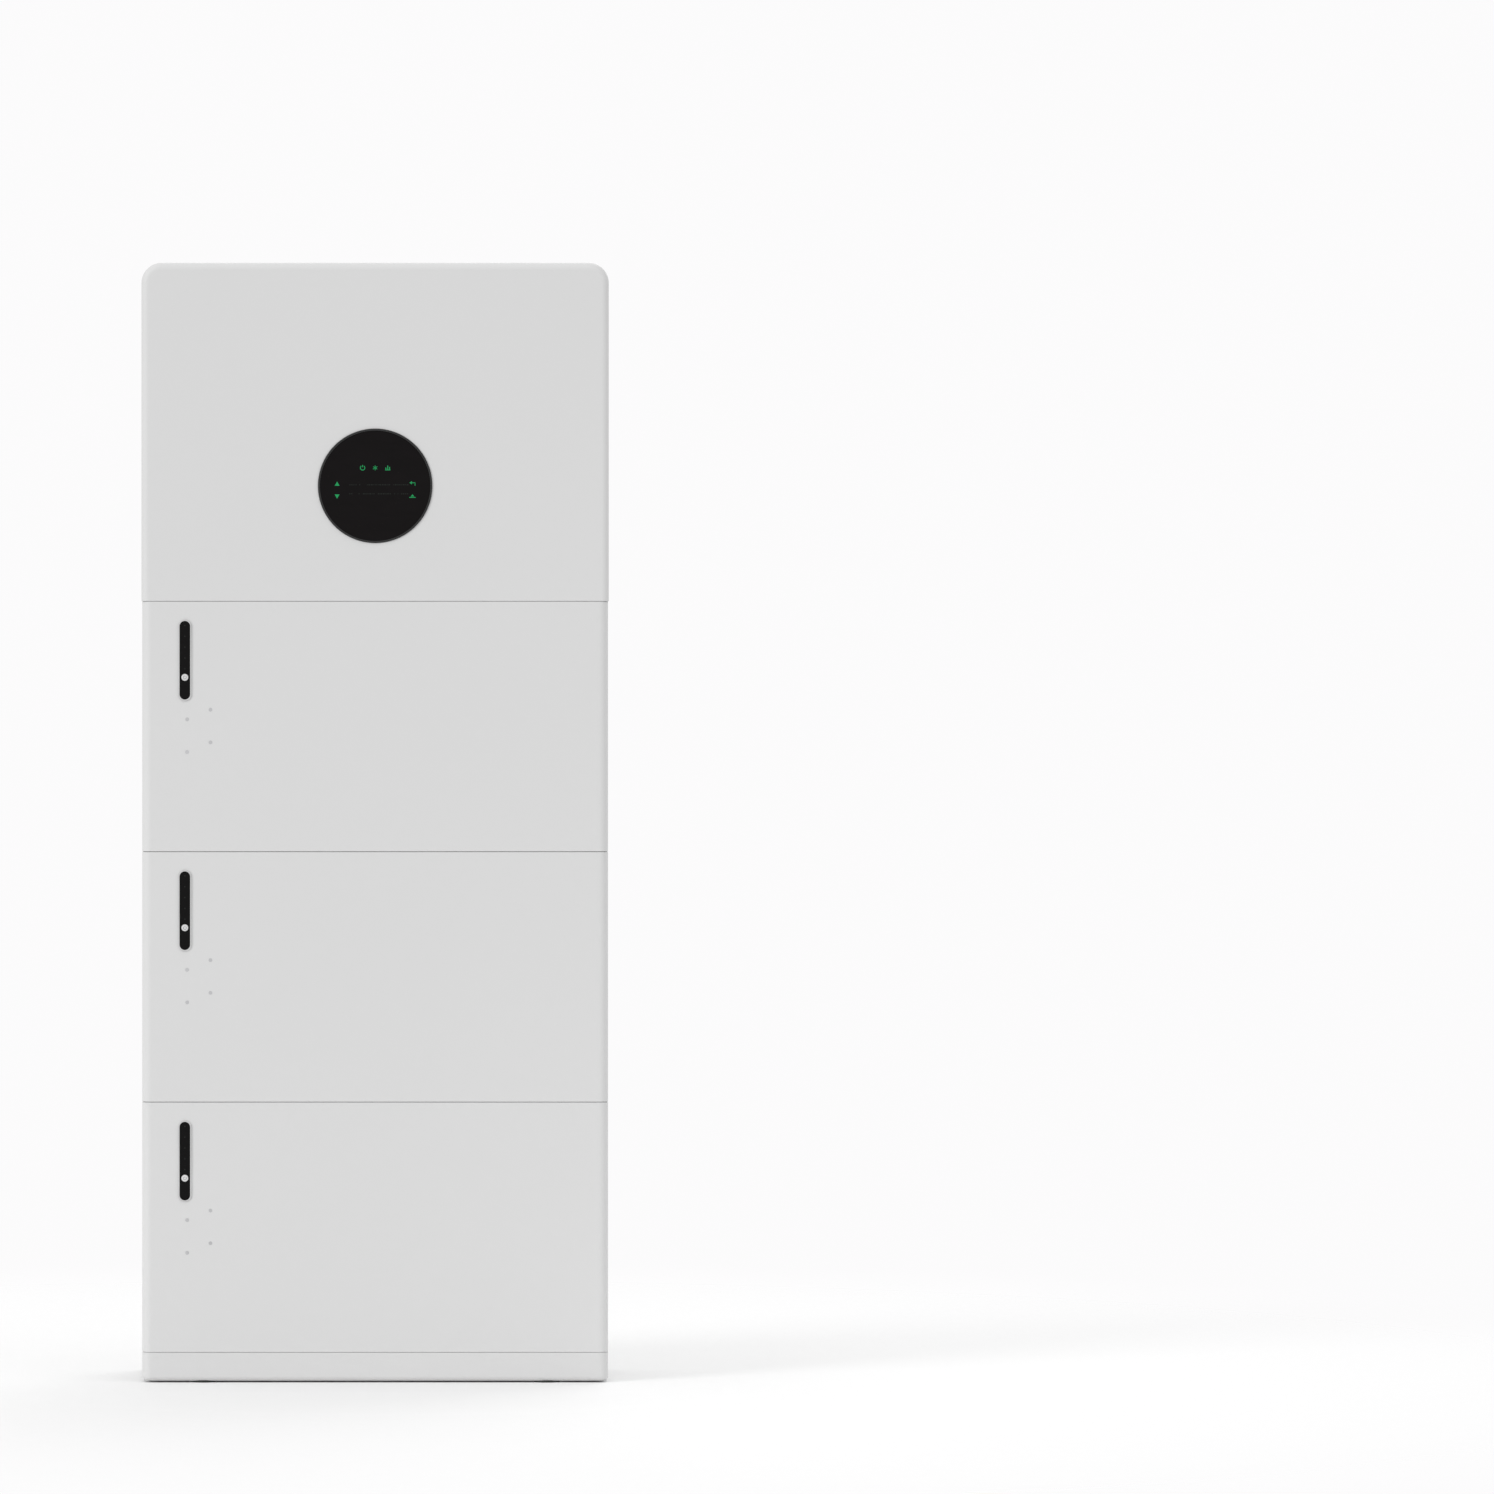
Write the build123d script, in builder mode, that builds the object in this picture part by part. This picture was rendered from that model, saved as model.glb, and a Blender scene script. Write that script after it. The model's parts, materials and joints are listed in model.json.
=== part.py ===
from build123d import *
import os
from math import cos, radians, sin

# A floor-standing battery stack: a low plinth, three battery modules and an inverter
# on top of them, hooked to a wall bracket. Millimetres, +Z up, front towards -Y, with
# the origin on the floor in the middle of the stack's outline.

os.makedirs("parts", exist_ok=True)

# Stack
module_count = 3
module_width = 650.0
module_pitch = 349.0
inverter_overhang = 1.0  # how far the inverter stands out beyond the modules at each side
inverter_height = 472.5
cover_front = -118.0  # flat fronts of all the covers
stack_back = 100.0  # backs of the module cases and of the cooling fins
wall_face = 120.0  # the wall side of the bracket
pad_height = 2.0
plinth_height = 40.0
running_clearance = 0.05  # on the radius of a shaft in its bore
hole_clearance = 0.3  # on the radius of a piece in a loose hole

# Plinth
plinth_wall = 3.0
plinth_floor = 5.0
plinth_foot_round = 7.0
anchor_radius = 4.5
anchor_inset = 40.0
anchor_y = (-102.5, 84.5)
anchor_access_radius = 10.0
pad_inset = 85.0
pad_y = (-98.0, 80.0)
pad_radius = 18.0
pad_stem_radius = 4.0
pad_barb_radius = 4.8
pad_barb_height = 2.0

# Module case, of bent sheet
sheet = 2.0
sheet_bend = 3.0
case_front = -83.5
neck_front = -100.0
neck_clearance = 0.5
gasket_inset = 0.5

# Module front cover
cover_wall = 2.5
cover_corner = 12.5
cover_edge_round = 1.0
cover_rear = -85.0
seam_gap = 0.6

# Side screws that hold the covers
screw_radius = 2.0
screw_head_radius = 3.75
screw_length = 9.0
screw_y = -92.0
screw_margin = (60.0, 59.0)  # above the module's bottom and below its top

# Indicator bar, button and light pipes, placed from the module's left edge and its top
bar_inset = 59.8
bar_drop = 82.1
bar_width = 14.6
bar_height = 109.4
bar_front = cover_front - 0.9
bezel_rim = 2.4
bezel_proud = 1.6
bezel_wall = 1.1
bezel_rear = -112.0
bar_flange = 1.8
bar_flange_thickness = 1.5
button_drop = 106.0
button_radius = 4.85
button_front = cover_front - 1.4
button_flange_rim = 1.35
button_flange_thickness = 1.2
button_flange_gap = 0.1
button_stem_radius = 2.0
button_stem_length = 0.5
button_travel = 1.5
pipe_insets = ((63.0, 164.5), (63.0, 210.0), (95.5, 151.0), (95.5, 196.6))
pipe_radius = 2.5
pipe_collar_radius = 3.5
pipe_collar = 1.0
pipe_end = -106.0
fit_gap = 0.1

# Circuit boards and the stakes that hold them
board_thickness = 1.6
stake_post_radius = 3.5
stake_pin_radius = 1.3
stake_head_radius = 2.5
stake_head = 1.2
stake_inset = 5.0
indicator_board_y = -104.0
indicator_board_insets = (39.0, 109.0)
indicator_board_drops = (229.0, 21.0)
led_size = (3.0, 2.8)
led_height = 1.0
switch_size = 6.0
switch_plunger = 0.5
board_socket = (6.0, 12.0)
socket_inset = 15.0
bar_led_count = 5
bar_led_margins = (8.0, 12.0)  # below the top of the bar and above the button

# Handles and their cups
cup_centre_y = 10.0
cup_drop = 124.0
cup_width = 150.0
cup_height = 80.0
cup_depth = 34.0
cup_wall = 2.5
cup_corner = 8.0
cup_flange = 8.0
handle_axis_depth = 13.0  # from the module's side to the hinge
handle_axis_drop = 15.5  # from the top of the cup to the hinge
handle_reach = 36.0
handle_radius = 6.0
handle_bend = 12.0
handle_gap = 2.5
handle_hub_radius = 7.5
handle_hub_length = 14.0
trunnion_radius = 4.0
trunnion_over = 1.5

# Battery cells, in two layers
cell_size = (50.0, 160.0, 118.5)
cell_gap = 0.8
pack_clearance = (7.0, 1.4)  # to the management board and to the right handle cup
cells_centre_y = 8.0
cell_edge_round = 3.0
terminal_radius = 7.0
terminal_height = 4.0
terminal_offset = 55.0
busbar_thickness = 2.0
busbar_width = 20.0
lead_overlap = 34.0
lead_clearance = 2.0
tray_floor = 10.0
tray_shelf = 8.0
shelf_clearance = 9.5
tray_wall = 4.0
tray_rim = 8.0

# Battery management board
bms_clearance = 4.0
bms_width = 155.0
bms_rise = 60.0
bms_above_cells = 6.0
bms_stand_off = 12.4
# left and right edge from the board's left edge, height off the board, bottom and top above its foot
bms_heat_spreader = (69.0, 112.0, 5.0, 110.0, 180.0)
bms_components = (
    bms_heat_spreader,
    (11.0, 61.0, 40.0, 30.0, 80.0),  # main contactor
    (11.0, 61.0, 40.0, 100.0, 150.0),  # pre-charge contactor
    (11.0, 81.0, 9.0, 192.0, 204.0),  # cell sense socket
    (72.0, 107.0, 9.0, 16.0, 26.0),  # data socket
)
bms_fin_count = 6
bms_fin_pitch = 8.0
bms_fin_thickness = 3.0
bms_fin_height = 25.0

# Links between stacked units
dowel_inset = 20.0
dowel_y = 40.0
dowel_radius = 6.0
dowel_flange_radius = 11.0
dowel_flange = 2.0
dowel_length = 12.0
dowel_point = 4.0
link_x = -210.0
link_y = 0.0
plug_size = (54.0, 22.0)
plug_height = 10.0
plug_flange = 8.0
plug_flange_thickness = 3.0
socket_clearance = 1.0
socket_wall = 5.0
socket_height = 24.0
socket_depth = 14.0

# Inverter casting and cover
casting_front = -60.0
casting_wall_back = 60.0
casting_wall = 4.0
casting_back = 5.0
casting_corner = 28.0
casting_neck_front = -75.0
casting_neck_rear = -54.0
casting_neck_wall = 3.0
inverter_gasket = 2.0
inverter_cover_wall = 3.0
inverter_cover_round = 10.0
inverter_foot_round = 1.5
inverter_screw_y = -68.0
inverter_screw_margin = (60.0, 72.5)
fin_thickness = 2.5
fin_pitch = 16.0
fin_side_margin = 50.0
fin_margin = 40.0
hook_x = 110.0
hook_width = 40.0
hook_arm = 8.0
hook_back = 112.0
hook_tongue = 4.5
hook_drop = 16.0

# Wall bracket
bracket_drop = 92.5
bracket_width = 320.0
bracket_height = 120.0
bracket_sheet = 3.0
bracket_shelf_front = 104.0
bracket_lip = 18.0
bracket_hole_x = 130.0
bracket_hole_rise = 40.0
bracket_hole_radius = 4.25

# Round display
display_rise = 161.0
display_radius = 79.8
display_proud = 2.0
display_rim = 3.0
display_stem_inset = 1.3
display_window_inset = 6.5
display_lens_inset = 0.4
display_lens_thickness = 1.8
display_stem_rear = -112.0
display_board_inset = 1.9
display_stake_inset = 3.9
display_stake_pin = 0.9
display_stake_count = 3
# left, right, height off the back of the display board, bottom and top from its middle
display_components = (
    (-15.0, 15.0, 2.0, 10.0, 40.0),  # processor
    (-30.0, 30.0, 8.0, -40.0, -28.0),  # ribbon socket
)
lcd_size = (86.0, 40.0)
lcd_height = 5.0

# Recesses in the inverter's two sides
recess_centre_y = 0.0
recess_width = 92.0
recess_wall = 2.5
recess_corner = 8.0
recess_flange = 7.0
switch_recess_rise = 175.0
switch_recess_height = 210.0
switch_recess_depth = 40.0
cable_recess_rise = 190.0
cable_recess_height = 280.0
cable_recess_depth = 48.0

# Rotary isolator
isolator_rise = 230.0
isolator_body = (40.0, 50.0, 50.0)
isolator_bush_radius = 8.0
isolator_bush = 2.5
isolator_bore_depth = 14.0
knob_gap = 1.0
knob_radius = 20.0
knob_skirt = 5.0
knob_grip = (21.0, 8.0, 34.0)
knob_shaft_radius = 3.0
knob_shaft_length = 12.0

# Breaker, its lever and its flap
breaker_rise = 130.0
breaker_body_size = (60.0, 36.0, 84.0)
breaker_nose = (11.5, 36.0, 45.0)
breaker_slot = (10.5, 14.0, 30.0)
lever_axis_out = 6.5
lever_hub_radius = 4.5
lever_width = 12.0
lever_length = 13.0
lever_thickness = 5.0
lever_tilt = 25.0
lever_pin_radius = 1.5
lever_pin_length = 3.0
flap_axis_out = 13.5
flap_axis_rise = 40.0
flap_barrel_radius = 4.0
flap_pin_radius = 2.0
flap_half_barrel = 29.0
flap_half_width = 34.0
flap_offset = 10.0
flap_thickness = 2.0
flap_height = 84.0
flap_lip = 4.0
lug_half_inner = 30.0
lug_thickness = 6.0
lug_radius = 4.5
stop_size = 4.0

# Solar connectors, cable glands and the earth stud
solar_rise = (300.0, 262.0)
solar_spread = 19.0
solar_flange_across = 22.0
solar_flange = 4.0
solar_barrel_radius = 8.0
solar_barrel = 26.0
solar_bore_radius = 5.5
solar_bore_depth = 20.0
solar_pin_radius = 2.0
solar_pin_length = 16.0
# height above the inverter's bottom, offset from the middle, outer radius and bore radius
gland_places = (
    (206.0, 0.0, 17.0, 9.0),
    (156.0, 0.0, 17.0, 9.0),
    (112.0, -20.0, 11.0, 4.0),
    (112.0, 20.0, 11.0, 4.0),
)
gland_dome_round = 1.0
gland_dome_lip = 3.0
gland_flange = 6.0
gland_dome = 24.0
gland_thread = 8.0
gland_lock_nut = 5.0
earth_rise = 78.0
earth_y = 20.0
earth_radius = 3.0
earth_length = 20.0
earth_nut_across = 10.0
earth_nut = 5.0

# Inverter electronics
power_board_clearance = (11.0, 33.0)  # to the breaker and to the cable recess
power_board_margin = (110.0, 42.5)  # above the inverter's bottom and below its top
power_board_back = 35.0
relay_reach = 155.0  # from the board's right edge to the far side of the relays
power_module_reach = 185.0
# left and right edge from the board's right edge, height off the board, bottom and top above its foot
power_components = (
    (relay_reach, 129.0, 22.0, 40.0, 70.0),  # four relays
    (119.0, 93.0, 22.0, 40.0, 70.0),
    (83.0, 57.0, 22.0, 40.0, 70.0),
    (47.0, 21.0, 22.0, 40.0, 70.0),
    (relay_reach, 95.0, 40.0, 120.0, 180.0),  # transformer
    (70.0, 20.0, 12.0, 120.0, 150.0),  # controller
    (power_module_reach, 25.0, 7.0, 200.0, 240.0),  # power module
)
power_part_gap = 20.0  # from the coils and capacitors to the parts right of them
inductor_inset = 65.0
inductor_pitch = 90.0
inductor_rise = 70.0
inductor_radius = 36.0
inductor_bore = 14.0
inductor_height = 32.0
inductor_round = 4.0
capacitor_rows = 2
capacitor_pitch = 45.0
capacitor_drop = 95.0
capacitor_radius = 17.5
capacitor_height = 50.0
capacitor_round = 1.5

# Heights and sides that follow from the sizes above
plinth_top = pad_height + plinth_height
module_levels = [plinth_top + module_pitch * index for index in range(module_count)]
inverter_level = plinth_top + module_pitch * module_count
inverter_top = inverter_level + inverter_height
module_side = module_width / 2
inverter_side = module_side + inverter_overhang
neck_side = module_side - cover_wall - neck_clearance
anchor_x = module_side - anchor_inset
pad_x = module_side - pad_inset
dowel_x = module_side - dowel_inset
screw_rise = (screw_margin[0], module_pitch - screw_margin[1])
inverter_screw_rise = (inverter_screw_margin[0], inverter_height - inverter_screw_margin[1])

# Indicator panel
bar_x = -module_side + bar_inset
pipe_places = [(-module_side + inset, drop) for inset, drop in pipe_insets]
indicator_board_x = [-module_side + inset for inset in indicator_board_insets]
indicator_board_rise = [module_pitch - drop for drop in indicator_board_drops]
board_back_y = indicator_board_y + board_thickness
flange_rear = bezel_rear + bar_flange_thickness
button_flange_front = flange_rear + button_flange_gap
button_flange_rear = button_flange_front + button_flange_thickness
button_stem_rear = button_flange_rear + button_stem_length

# Battery pack: as many cells as fit between the management board and the right handle cup
cup_rise = module_pitch - cup_drop
cup_inner_x = module_side - cup_depth
bms_x = (-cup_inner_x + bms_clearance, -cup_inner_x + bms_clearance + bms_width)
bms_board_back = stack_back - sheet - bms_stand_off
pack_right = cup_inner_x - pack_clearance[1] - tray_wall
pack_left_limit = bms_x[1] + pack_clearance[0] + tray_wall
cell_step = cell_size[0] + cell_gap
cells_per_layer = int((pack_right - pack_left_limit + cell_gap) / cell_step)
pack_left = pack_right - cells_per_layer * cell_step + cell_gap
cell_centres = [pack_left + cell_size[0] / 2 + cell_step * index for index in range(cells_per_layer)]
pack_front = cells_centre_y - cell_size[1] / 2
pack_back = cells_centre_y + cell_size[1] / 2
lead_left = bms_x[1] - lead_overlap
lead_y = cells_centre_y + terminal_offset
layer_height = cell_size[2] + terminal_height
lower_layer = sheet + tray_floor
shelf_low = lower_layer + layer_height + busbar_thickness + shelf_clearance
upper_layer = shelf_low + tray_shelf
layers = (lower_layer, upper_layer)
bms_top = upper_layer + layer_height + busbar_thickness + bms_above_cells


def block(x, y, z, mode=Mode.ADD):
    # box between two values on each axis
    with Locations((sum(x) / 2, sum(y) / 2, sum(z) / 2)):
        Box(abs(x[1] - x[0]), abs(y[1] - y[0]), abs(z[1] - z[0]), mode=mode)


def rod_x(x, y, z, radius, mode=Mode.ADD):
    with Locations((sum(x) / 2, y, z)):
        Cylinder(radius, abs(x[1] - x[0]), rotation=(0, 90, 0), mode=mode)


def rod_y(x, y, z, radius, mode=Mode.ADD):
    with Locations((x, sum(y) / 2, z)):
        Cylinder(radius, abs(y[1] - y[0]), rotation=(90, 0, 0), mode=mode)


def rod_z(x, y, z, radius, mode=Mode.ADD):
    with Locations((x, y, sum(z) / 2)):
        Cylinder(radius, abs(z[1] - z[0]), mode=mode)


def rounded_block_x(x, y, z, width, height, corner, mode=Mode.ADD):
    # block along X with a rounded outline of width by height, centred on y and z
    with BuildSketch(Plane.YZ.offset(x[0])) as outline:
        with Locations((y, z)):
            RectangleRounded(width, height, corner)
    extrude(outline.sketch, amount=x[1] - x[0], mode=mode)


def slot_block_y(x, y, z, width, height, mode=Mode.ADD):
    # upright block along Y with round ends, centred on x and z
    with BuildSketch(Plane.XZ.offset(-y[0])) as outline:
        with Locations((x, z)):
            SlotOverall(height, width, rotation=90)
    extrude(outline.sketch, amount=y[0] - y[1], mode=mode)


def hex_block_x(x, y, z, across, mode=Mode.ADD):
    # hexagonal nut or collar along X
    with BuildSketch(Plane.YZ.offset(x[0])) as outline:
        with Locations((y, z)):
            RegularPolygon(across / 2, 6, major_radius=False)
    extrude(outline.sketch, amount=x[1] - x[0], mode=mode)


def front_rounded_block(width, y, z, corner, mode=Mode.ADD):
    # upright block whose two front corners are rounded
    with BuildSketch(Plane.XY.offset(z[0])) as outline:
        with Locations((0, sum(y) / 2)):
            Rectangle(width, y[1] - y[0])
        fillet(outline.vertices().group_by(Axis.Y)[0], corner)
    extrude(outline.sketch, amount=z[1] - z[0], mode=mode)


def arched_block(inset, y, mode=Mode.ADD, foot_round=inverter_foot_round):
    # block along Y with the inverter's outline, set in all round
    with BuildSketch(Plane.XZ.offset(-y[0])) as outline:
        with Locations((0, inverter_level + inverter_height / 2)):
            Rectangle(2 * (inverter_side - inset), inverter_height - 2 * inset)
        fillet(outline.vertices().group_by(Axis.Y)[-1], casting_corner - inset)
        if inset < foot_round:
            fillet(outline.vertices().group_by(Axis.Y)[0], foot_round - inset)
    extrude(outline.sketch, amount=y[0] - y[1], mode=mode)


def stake(x, z, foot, seat):
    # post with a riveted-over pin that holds a board, from foot to the board's near face
    way = 1 if seat > foot else -1
    far_face = seat + way * board_thickness
    rod_y(x, (foot, seat), z, stake_post_radius)
    rod_y(x, (seat, far_face), z, stake_pin_radius)
    rod_y(x, (far_face, far_face + way * stake_head), z, stake_head_radius)


def screw_hole(side, outer_x, y, z):
    # countersunk hole through a cover's side wall; side is 1 on the right and -1 on the left
    head_depth = screw_head_radius - screw_radius
    shank_x = (side * outer_x, side * (outer_x - screw_length))
    rod_x(shank_x, y, z, screw_radius + hole_clearance / 2, Mode.SUBTRACT)
    with Locations(Location((side * (outer_x - head_depth / 2), y, z), (0, side * 90, 0))):
        Cone(screw_radius, screw_head_radius, head_depth, mode=Mode.SUBTRACT)


def screw(side, outer_x, y, z):
    head_depth = screw_head_radius - screw_radius
    rod_x((side * (outer_x - head_depth), side * (outer_x - screw_length)), y, z, screw_radius)
    with Locations(Location((side * (outer_x - head_depth / 2), y, z), (0, side * 90, 0))):
        Cone(screw_radius, screw_head_radius, head_depth)


def corners(x, z, inset):
    # the four points set in from the corners of an upright board
    return [(across, up) for across in (x[0] + inset, x[1] - inset) for up in (z[0] + inset, z[1] - inset)]


def raised(rise, level):
    return tuple(level + value for value in rise)


def upright_board(x, y, z):
    # board across the front view, with a hole for each stake
    block(x, y, z)
    for across, up in corners(x, z, stake_inset):
        rod_y(across, y, up, stake_pin_radius + fit_gap, Mode.SUBTRACT)


def side_recess(side, outer_x, y, z, size, depth, wall, corner, flange, sheet_wall):
    # tray set into a side wall: open outwards, with a flange behind the wall
    width, height = size
    floor_x = side * (outer_x - depth)
    rounded_block_x((floor_x, side * outer_x), y, z, width, height, corner)
    behind = (side * (outer_x - sheet_wall), side * (outer_x - sheet_wall - wall))
    rounded_block_x(behind, y, z, width + 2 * flange, height + 2 * flange, corner + flange)
    hollow = (floor_x + side * wall, side * outer_x)
    rounded_block_x(hollow, y, z, width - 2 * wall, height - 2 * wall, corner - wall, Mode.SUBTRACT)


# ---- plinth ----

with BuildPart() as base_plinth:
    front_rounded_block(module_width, (cover_front, stack_back), (pad_height, plinth_top), cover_corner)
    fillet(base_plinth.edges().filter_by(Axis.Z).group_by(Axis.Y)[-1], sheet_bend)
    foot_edges = base_plinth.faces().sort_by(Axis.Z)[0].edges()
    fillet(foot_edges, plinth_foot_round)
    top_face = base_plinth.faces().sort_by(Axis.Z)[-1]
    front_rim = top_face.edges().filter_by(lambda edge: edge.center().Y < stack_back - sheet_bend)
    fillet(front_rim, cover_edge_round)
    front_rounded_block(
        module_width - 2 * plinth_wall,
        (cover_front + plinth_wall, stack_back - plinth_wall),
        (pad_height + plinth_floor, plinth_top - plinth_wall),
        cover_corner - plinth_wall,
        Mode.SUBTRACT,
    )
    for x in (-anchor_x, anchor_x):
        for y in anchor_y:
            rod_z(x, y, (pad_height, pad_height + plinth_floor), anchor_radius, Mode.SUBTRACT)
            rod_z(x, y, (plinth_top - plinth_wall, plinth_top), anchor_access_radius, Mode.SUBTRACT)
    for x in (-pad_x, pad_x):
        for y in pad_y:
            rod_z(x, y, (pad_height, pad_height + plinth_floor), pad_stem_radius + fit_gap, Mode.SUBTRACT)
    for x in (-dowel_x, dowel_x):
        top_plate = (plinth_top - plinth_wall, plinth_top)
        rod_z(x, dowel_y, top_plate, dowel_radius + running_clearance, Mode.SUBTRACT)
base_plinth.part.label = "base_plinth"
export_step(base_plinth.part, "parts/base_plinth.step")

with BuildPart() as base_pads:
    barb_low = pad_height + plinth_floor
    for x in (-pad_x, pad_x):
        for y in pad_y:
            rod_z(x, y, (0, pad_height), pad_radius)
            rod_z(x, y, (pad_height, barb_low), pad_stem_radius)
            rod_z(x, y, (barb_low, barb_low + pad_barb_height), pad_barb_radius)
base_pads.part.label = "base_pads"
export_step(base_pads.part, "parts/base_pads.step")


# ---- battery modules ----


def make_case(number, level):
    top = level + module_pitch
    neck_low = level + seam_gap / 2 + cover_wall + neck_clearance
    neck_high = top - seam_gap / 2 - cover_wall - neck_clearance
    with BuildPart() as case:
        block((-module_side, module_side), (case_front, stack_back), (level, top))
        fillet(case.edges().filter_by(Axis.Z).group_by(Axis.Y)[-1], sheet_bend)
        inside_x = (-module_side + sheet, module_side - sheet)
        block(inside_x, (case_front + sheet, stack_back - sheet), (level + sheet, top - sheet), Mode.SUBTRACT)
        block((-neck_side, neck_side), (neck_front, case_front), (neck_low, neck_high))
        mouth_x = (-neck_side + sheet, neck_side - sheet)
        block(mouth_x, (neck_front, case_front + sheet), (neck_low + sheet, neck_high - sheet), Mode.SUBTRACT)
        for side in (-1, 1):
            wall_x = (side * (module_side - sheet), side * module_side)
            cut_width = cup_width + 2 * hole_clearance
            cut = (cut_width, cup_height + 2 * hole_clearance, cup_corner + hole_clearance)
            rounded_block_x(wall_x, cup_centre_y, level + cup_rise, *cut, mode=Mode.SUBTRACT)
            neck_x = (side * (neck_side - sheet), side * neck_side)
            for rise in screw_rise:
                rod_x(neck_x, screw_y, level + rise, screw_radius + running_clearance, Mode.SUBTRACT)
            bottom_plate = (level, level + sheet)
            rod_z(side * dowel_x, dowel_y, bottom_plate, dowel_radius + hole_clearance, Mode.SUBTRACT)
            top_plate = (top - sheet, top)
            rod_z(side * dowel_x, dowel_y, top_plate, dowel_radius + running_clearance, Mode.SUBTRACT)
        link_opening((level, level + sheet), socket_clearance)
        link_opening((top - sheet, top), fit_gap)
        for x, z in corners(bms_x, (level + bms_rise, level + bms_top), stake_inset):
            stake(x, z, stack_back - sheet, bms_board_back)
    case.part.label = f"module_{number}_case"
    export_step(case.part, f"parts/module_{number}_case.step")


def link_opening(z, clearance):
    # opening that the plug between two stacked units passes through
    half_width = plug_size[0] / 2 + clearance
    half_depth = plug_size[1] / 2 + clearance
    x = (link_x - half_width, link_x + half_width)
    block(x, (link_y - half_depth, link_y + half_depth), z, Mode.SUBTRACT)


def make_front_cover(number, level):
    low = level + seam_gap / 2
    high = level + module_pitch - seam_gap / 2
    top = level + module_pitch
    with BuildPart() as cover:
        front_rounded_block(module_width, (cover_front, cover_rear), (low, high), cover_corner)
        rims = cover.faces().filter_by(Axis.Z).edges()
        fillet(rims.filter_by(lambda edge: edge.center().Y < cover_rear - cover_edge_round), cover_edge_round)
        front_rounded_block(
            module_width - 2 * cover_wall,
            (cover_front + cover_wall, cover_rear),
            (low + cover_wall, high - cover_wall),
            cover_corner - cover_wall,
            Mode.SUBTRACT,
        )
        hole_growth = 2 * (bezel_wall + 2 * fit_gap)
        front_wall = (cover_front, cover_front + cover_wall)
        hole_size = (bar_width + hole_growth, bar_height + hole_growth)
        slot_block_y(bar_x, front_wall, top - bar_drop, *hole_size, mode=Mode.SUBTRACT)
        for x, drop in pipe_places:
            rod_y(x, front_wall, top - drop, pipe_radius + fit_gap, Mode.SUBTRACT)
        for x, z in corners(indicator_board_x, raised(indicator_board_rise, level), stake_inset):
            stake(x, z, cover_front + cover_wall, indicator_board_y)
        for side in (-1, 1):
            for rise in screw_rise:
                screw_hole(side, module_side, screw_y, level + rise)
    cover.part.label = f"module_{number}_front_cover"
    export_step(cover.part, f"parts/module_{number}_front_cover.step")


def make_bar_lens(number, level):
    top = level + module_pitch
    flange_size = (bar_width + 2 * bar_flange, bar_height + 2 * bar_flange)
    with BuildPart() as lens:
        slot_block_y(bar_x, (bar_front, bezel_rear), top - bar_drop, bar_width, bar_height)
        fillet(lens.faces().sort_by(Axis.Y)[0].edges(), bezel_wall / 2)
        slot_block_y(bar_x, (bezel_rear, flange_rear), top - bar_drop, *flange_size)
        bore = button_radius + hole_clearance
        rod_y(bar_x, (bar_front, flange_rear), top - button_drop, bore, Mode.SUBTRACT)
    lens.part.label = f"module_{number}_bar_lens"
    export_step(lens.part, f"parts/module_{number}_bar_lens.step")


def make_power_button(number, level):
    z = level + module_pitch - button_drop
    with BuildPart() as button:
        rod_y(bar_x, (button_front, button_flange_front), z, button_radius)
        fillet(button.faces().sort_by(Axis.Y)[0].edges(), cover_edge_round)
        rod_y(bar_x, (button_flange_front, button_flange_rear), z, button_radius + button_flange_rim)
        rod_y(bar_x, (button_flange_rear, button_stem_rear), z, button_stem_radius)
    button.part.label = f"module_{number}_power_button"
    export_step(button.part, f"parts/module_{number}_power_button.step")


def make_indicator_board(number, level):
    top = level + module_pitch
    front = indicator_board_y
    plunger_tip = button_stem_rear + button_travel + fit_gap
    with BuildPart() as board:
        upright_board(indicator_board_x, (front, board_back_y), raised(indicator_board_rise, level))
        button_z = top - button_drop
        first_led = button_z + bar_led_margins[1]
        last_led = top - bar_drop + bar_height / 2 - bar_led_margins[0]
        for index in range(bar_led_count):
            led(bar_x, first_led + (last_led - first_led) * index / (bar_led_count - 1))
        for x, drop in pipe_places:
            led(x, top - drop)
        half = switch_size / 2
        switch_y = (plunger_tip + switch_plunger, front)
        block((bar_x - half, bar_x + half), switch_y, (button_z - half, button_z + half))
        rod_y(bar_x, (plunger_tip, front), button_z, button_stem_radius)
        socket_x = (indicator_board_x[0] + socket_inset, indicator_board_x[1] - socket_inset)
        socket_y = (board_back_y, board_back_y + board_socket[0])
        block(socket_x, socket_y, (button_z - board_socket[1], button_z))
    board.part.label = f"module_{number}_indicator_board"
    export_step(board.part, f"parts/module_{number}_indicator_board.step")


def led(x, z):
    # small lamp on the front of an indicator board
    half_width, half_height = led_size[0] / 2, led_size[1] / 2
    y = (indicator_board_y - led_height, indicator_board_y)
    block((x - half_width, x + half_width), y, (z - half_height, z + half_height))


def make_cells(number, level):
    half = cell_size[0] / 2
    with BuildPart() as cells:
        for floor in layers:
            cell_z = (level + floor, level + floor + cell_size[2])
            for x in cell_centres:
                block((x - half, x + half), (pack_front, pack_back), cell_z)
        fillet(cells.edges().filter_by(Axis.Z), cell_edge_round)
        for floor in layers:
            terminal_z = (level + floor + cell_size[2], level + floor + layer_height)
            for x in cell_centres:
                for offset in (-terminal_offset, terminal_offset):
                    rod_z(x, cells_centre_y + offset, terminal_z, terminal_radius)
    cells.part.label = f"module_{number}_cells"
    export_step(cells.part, f"parts/module_{number}_cells.step")


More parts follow.
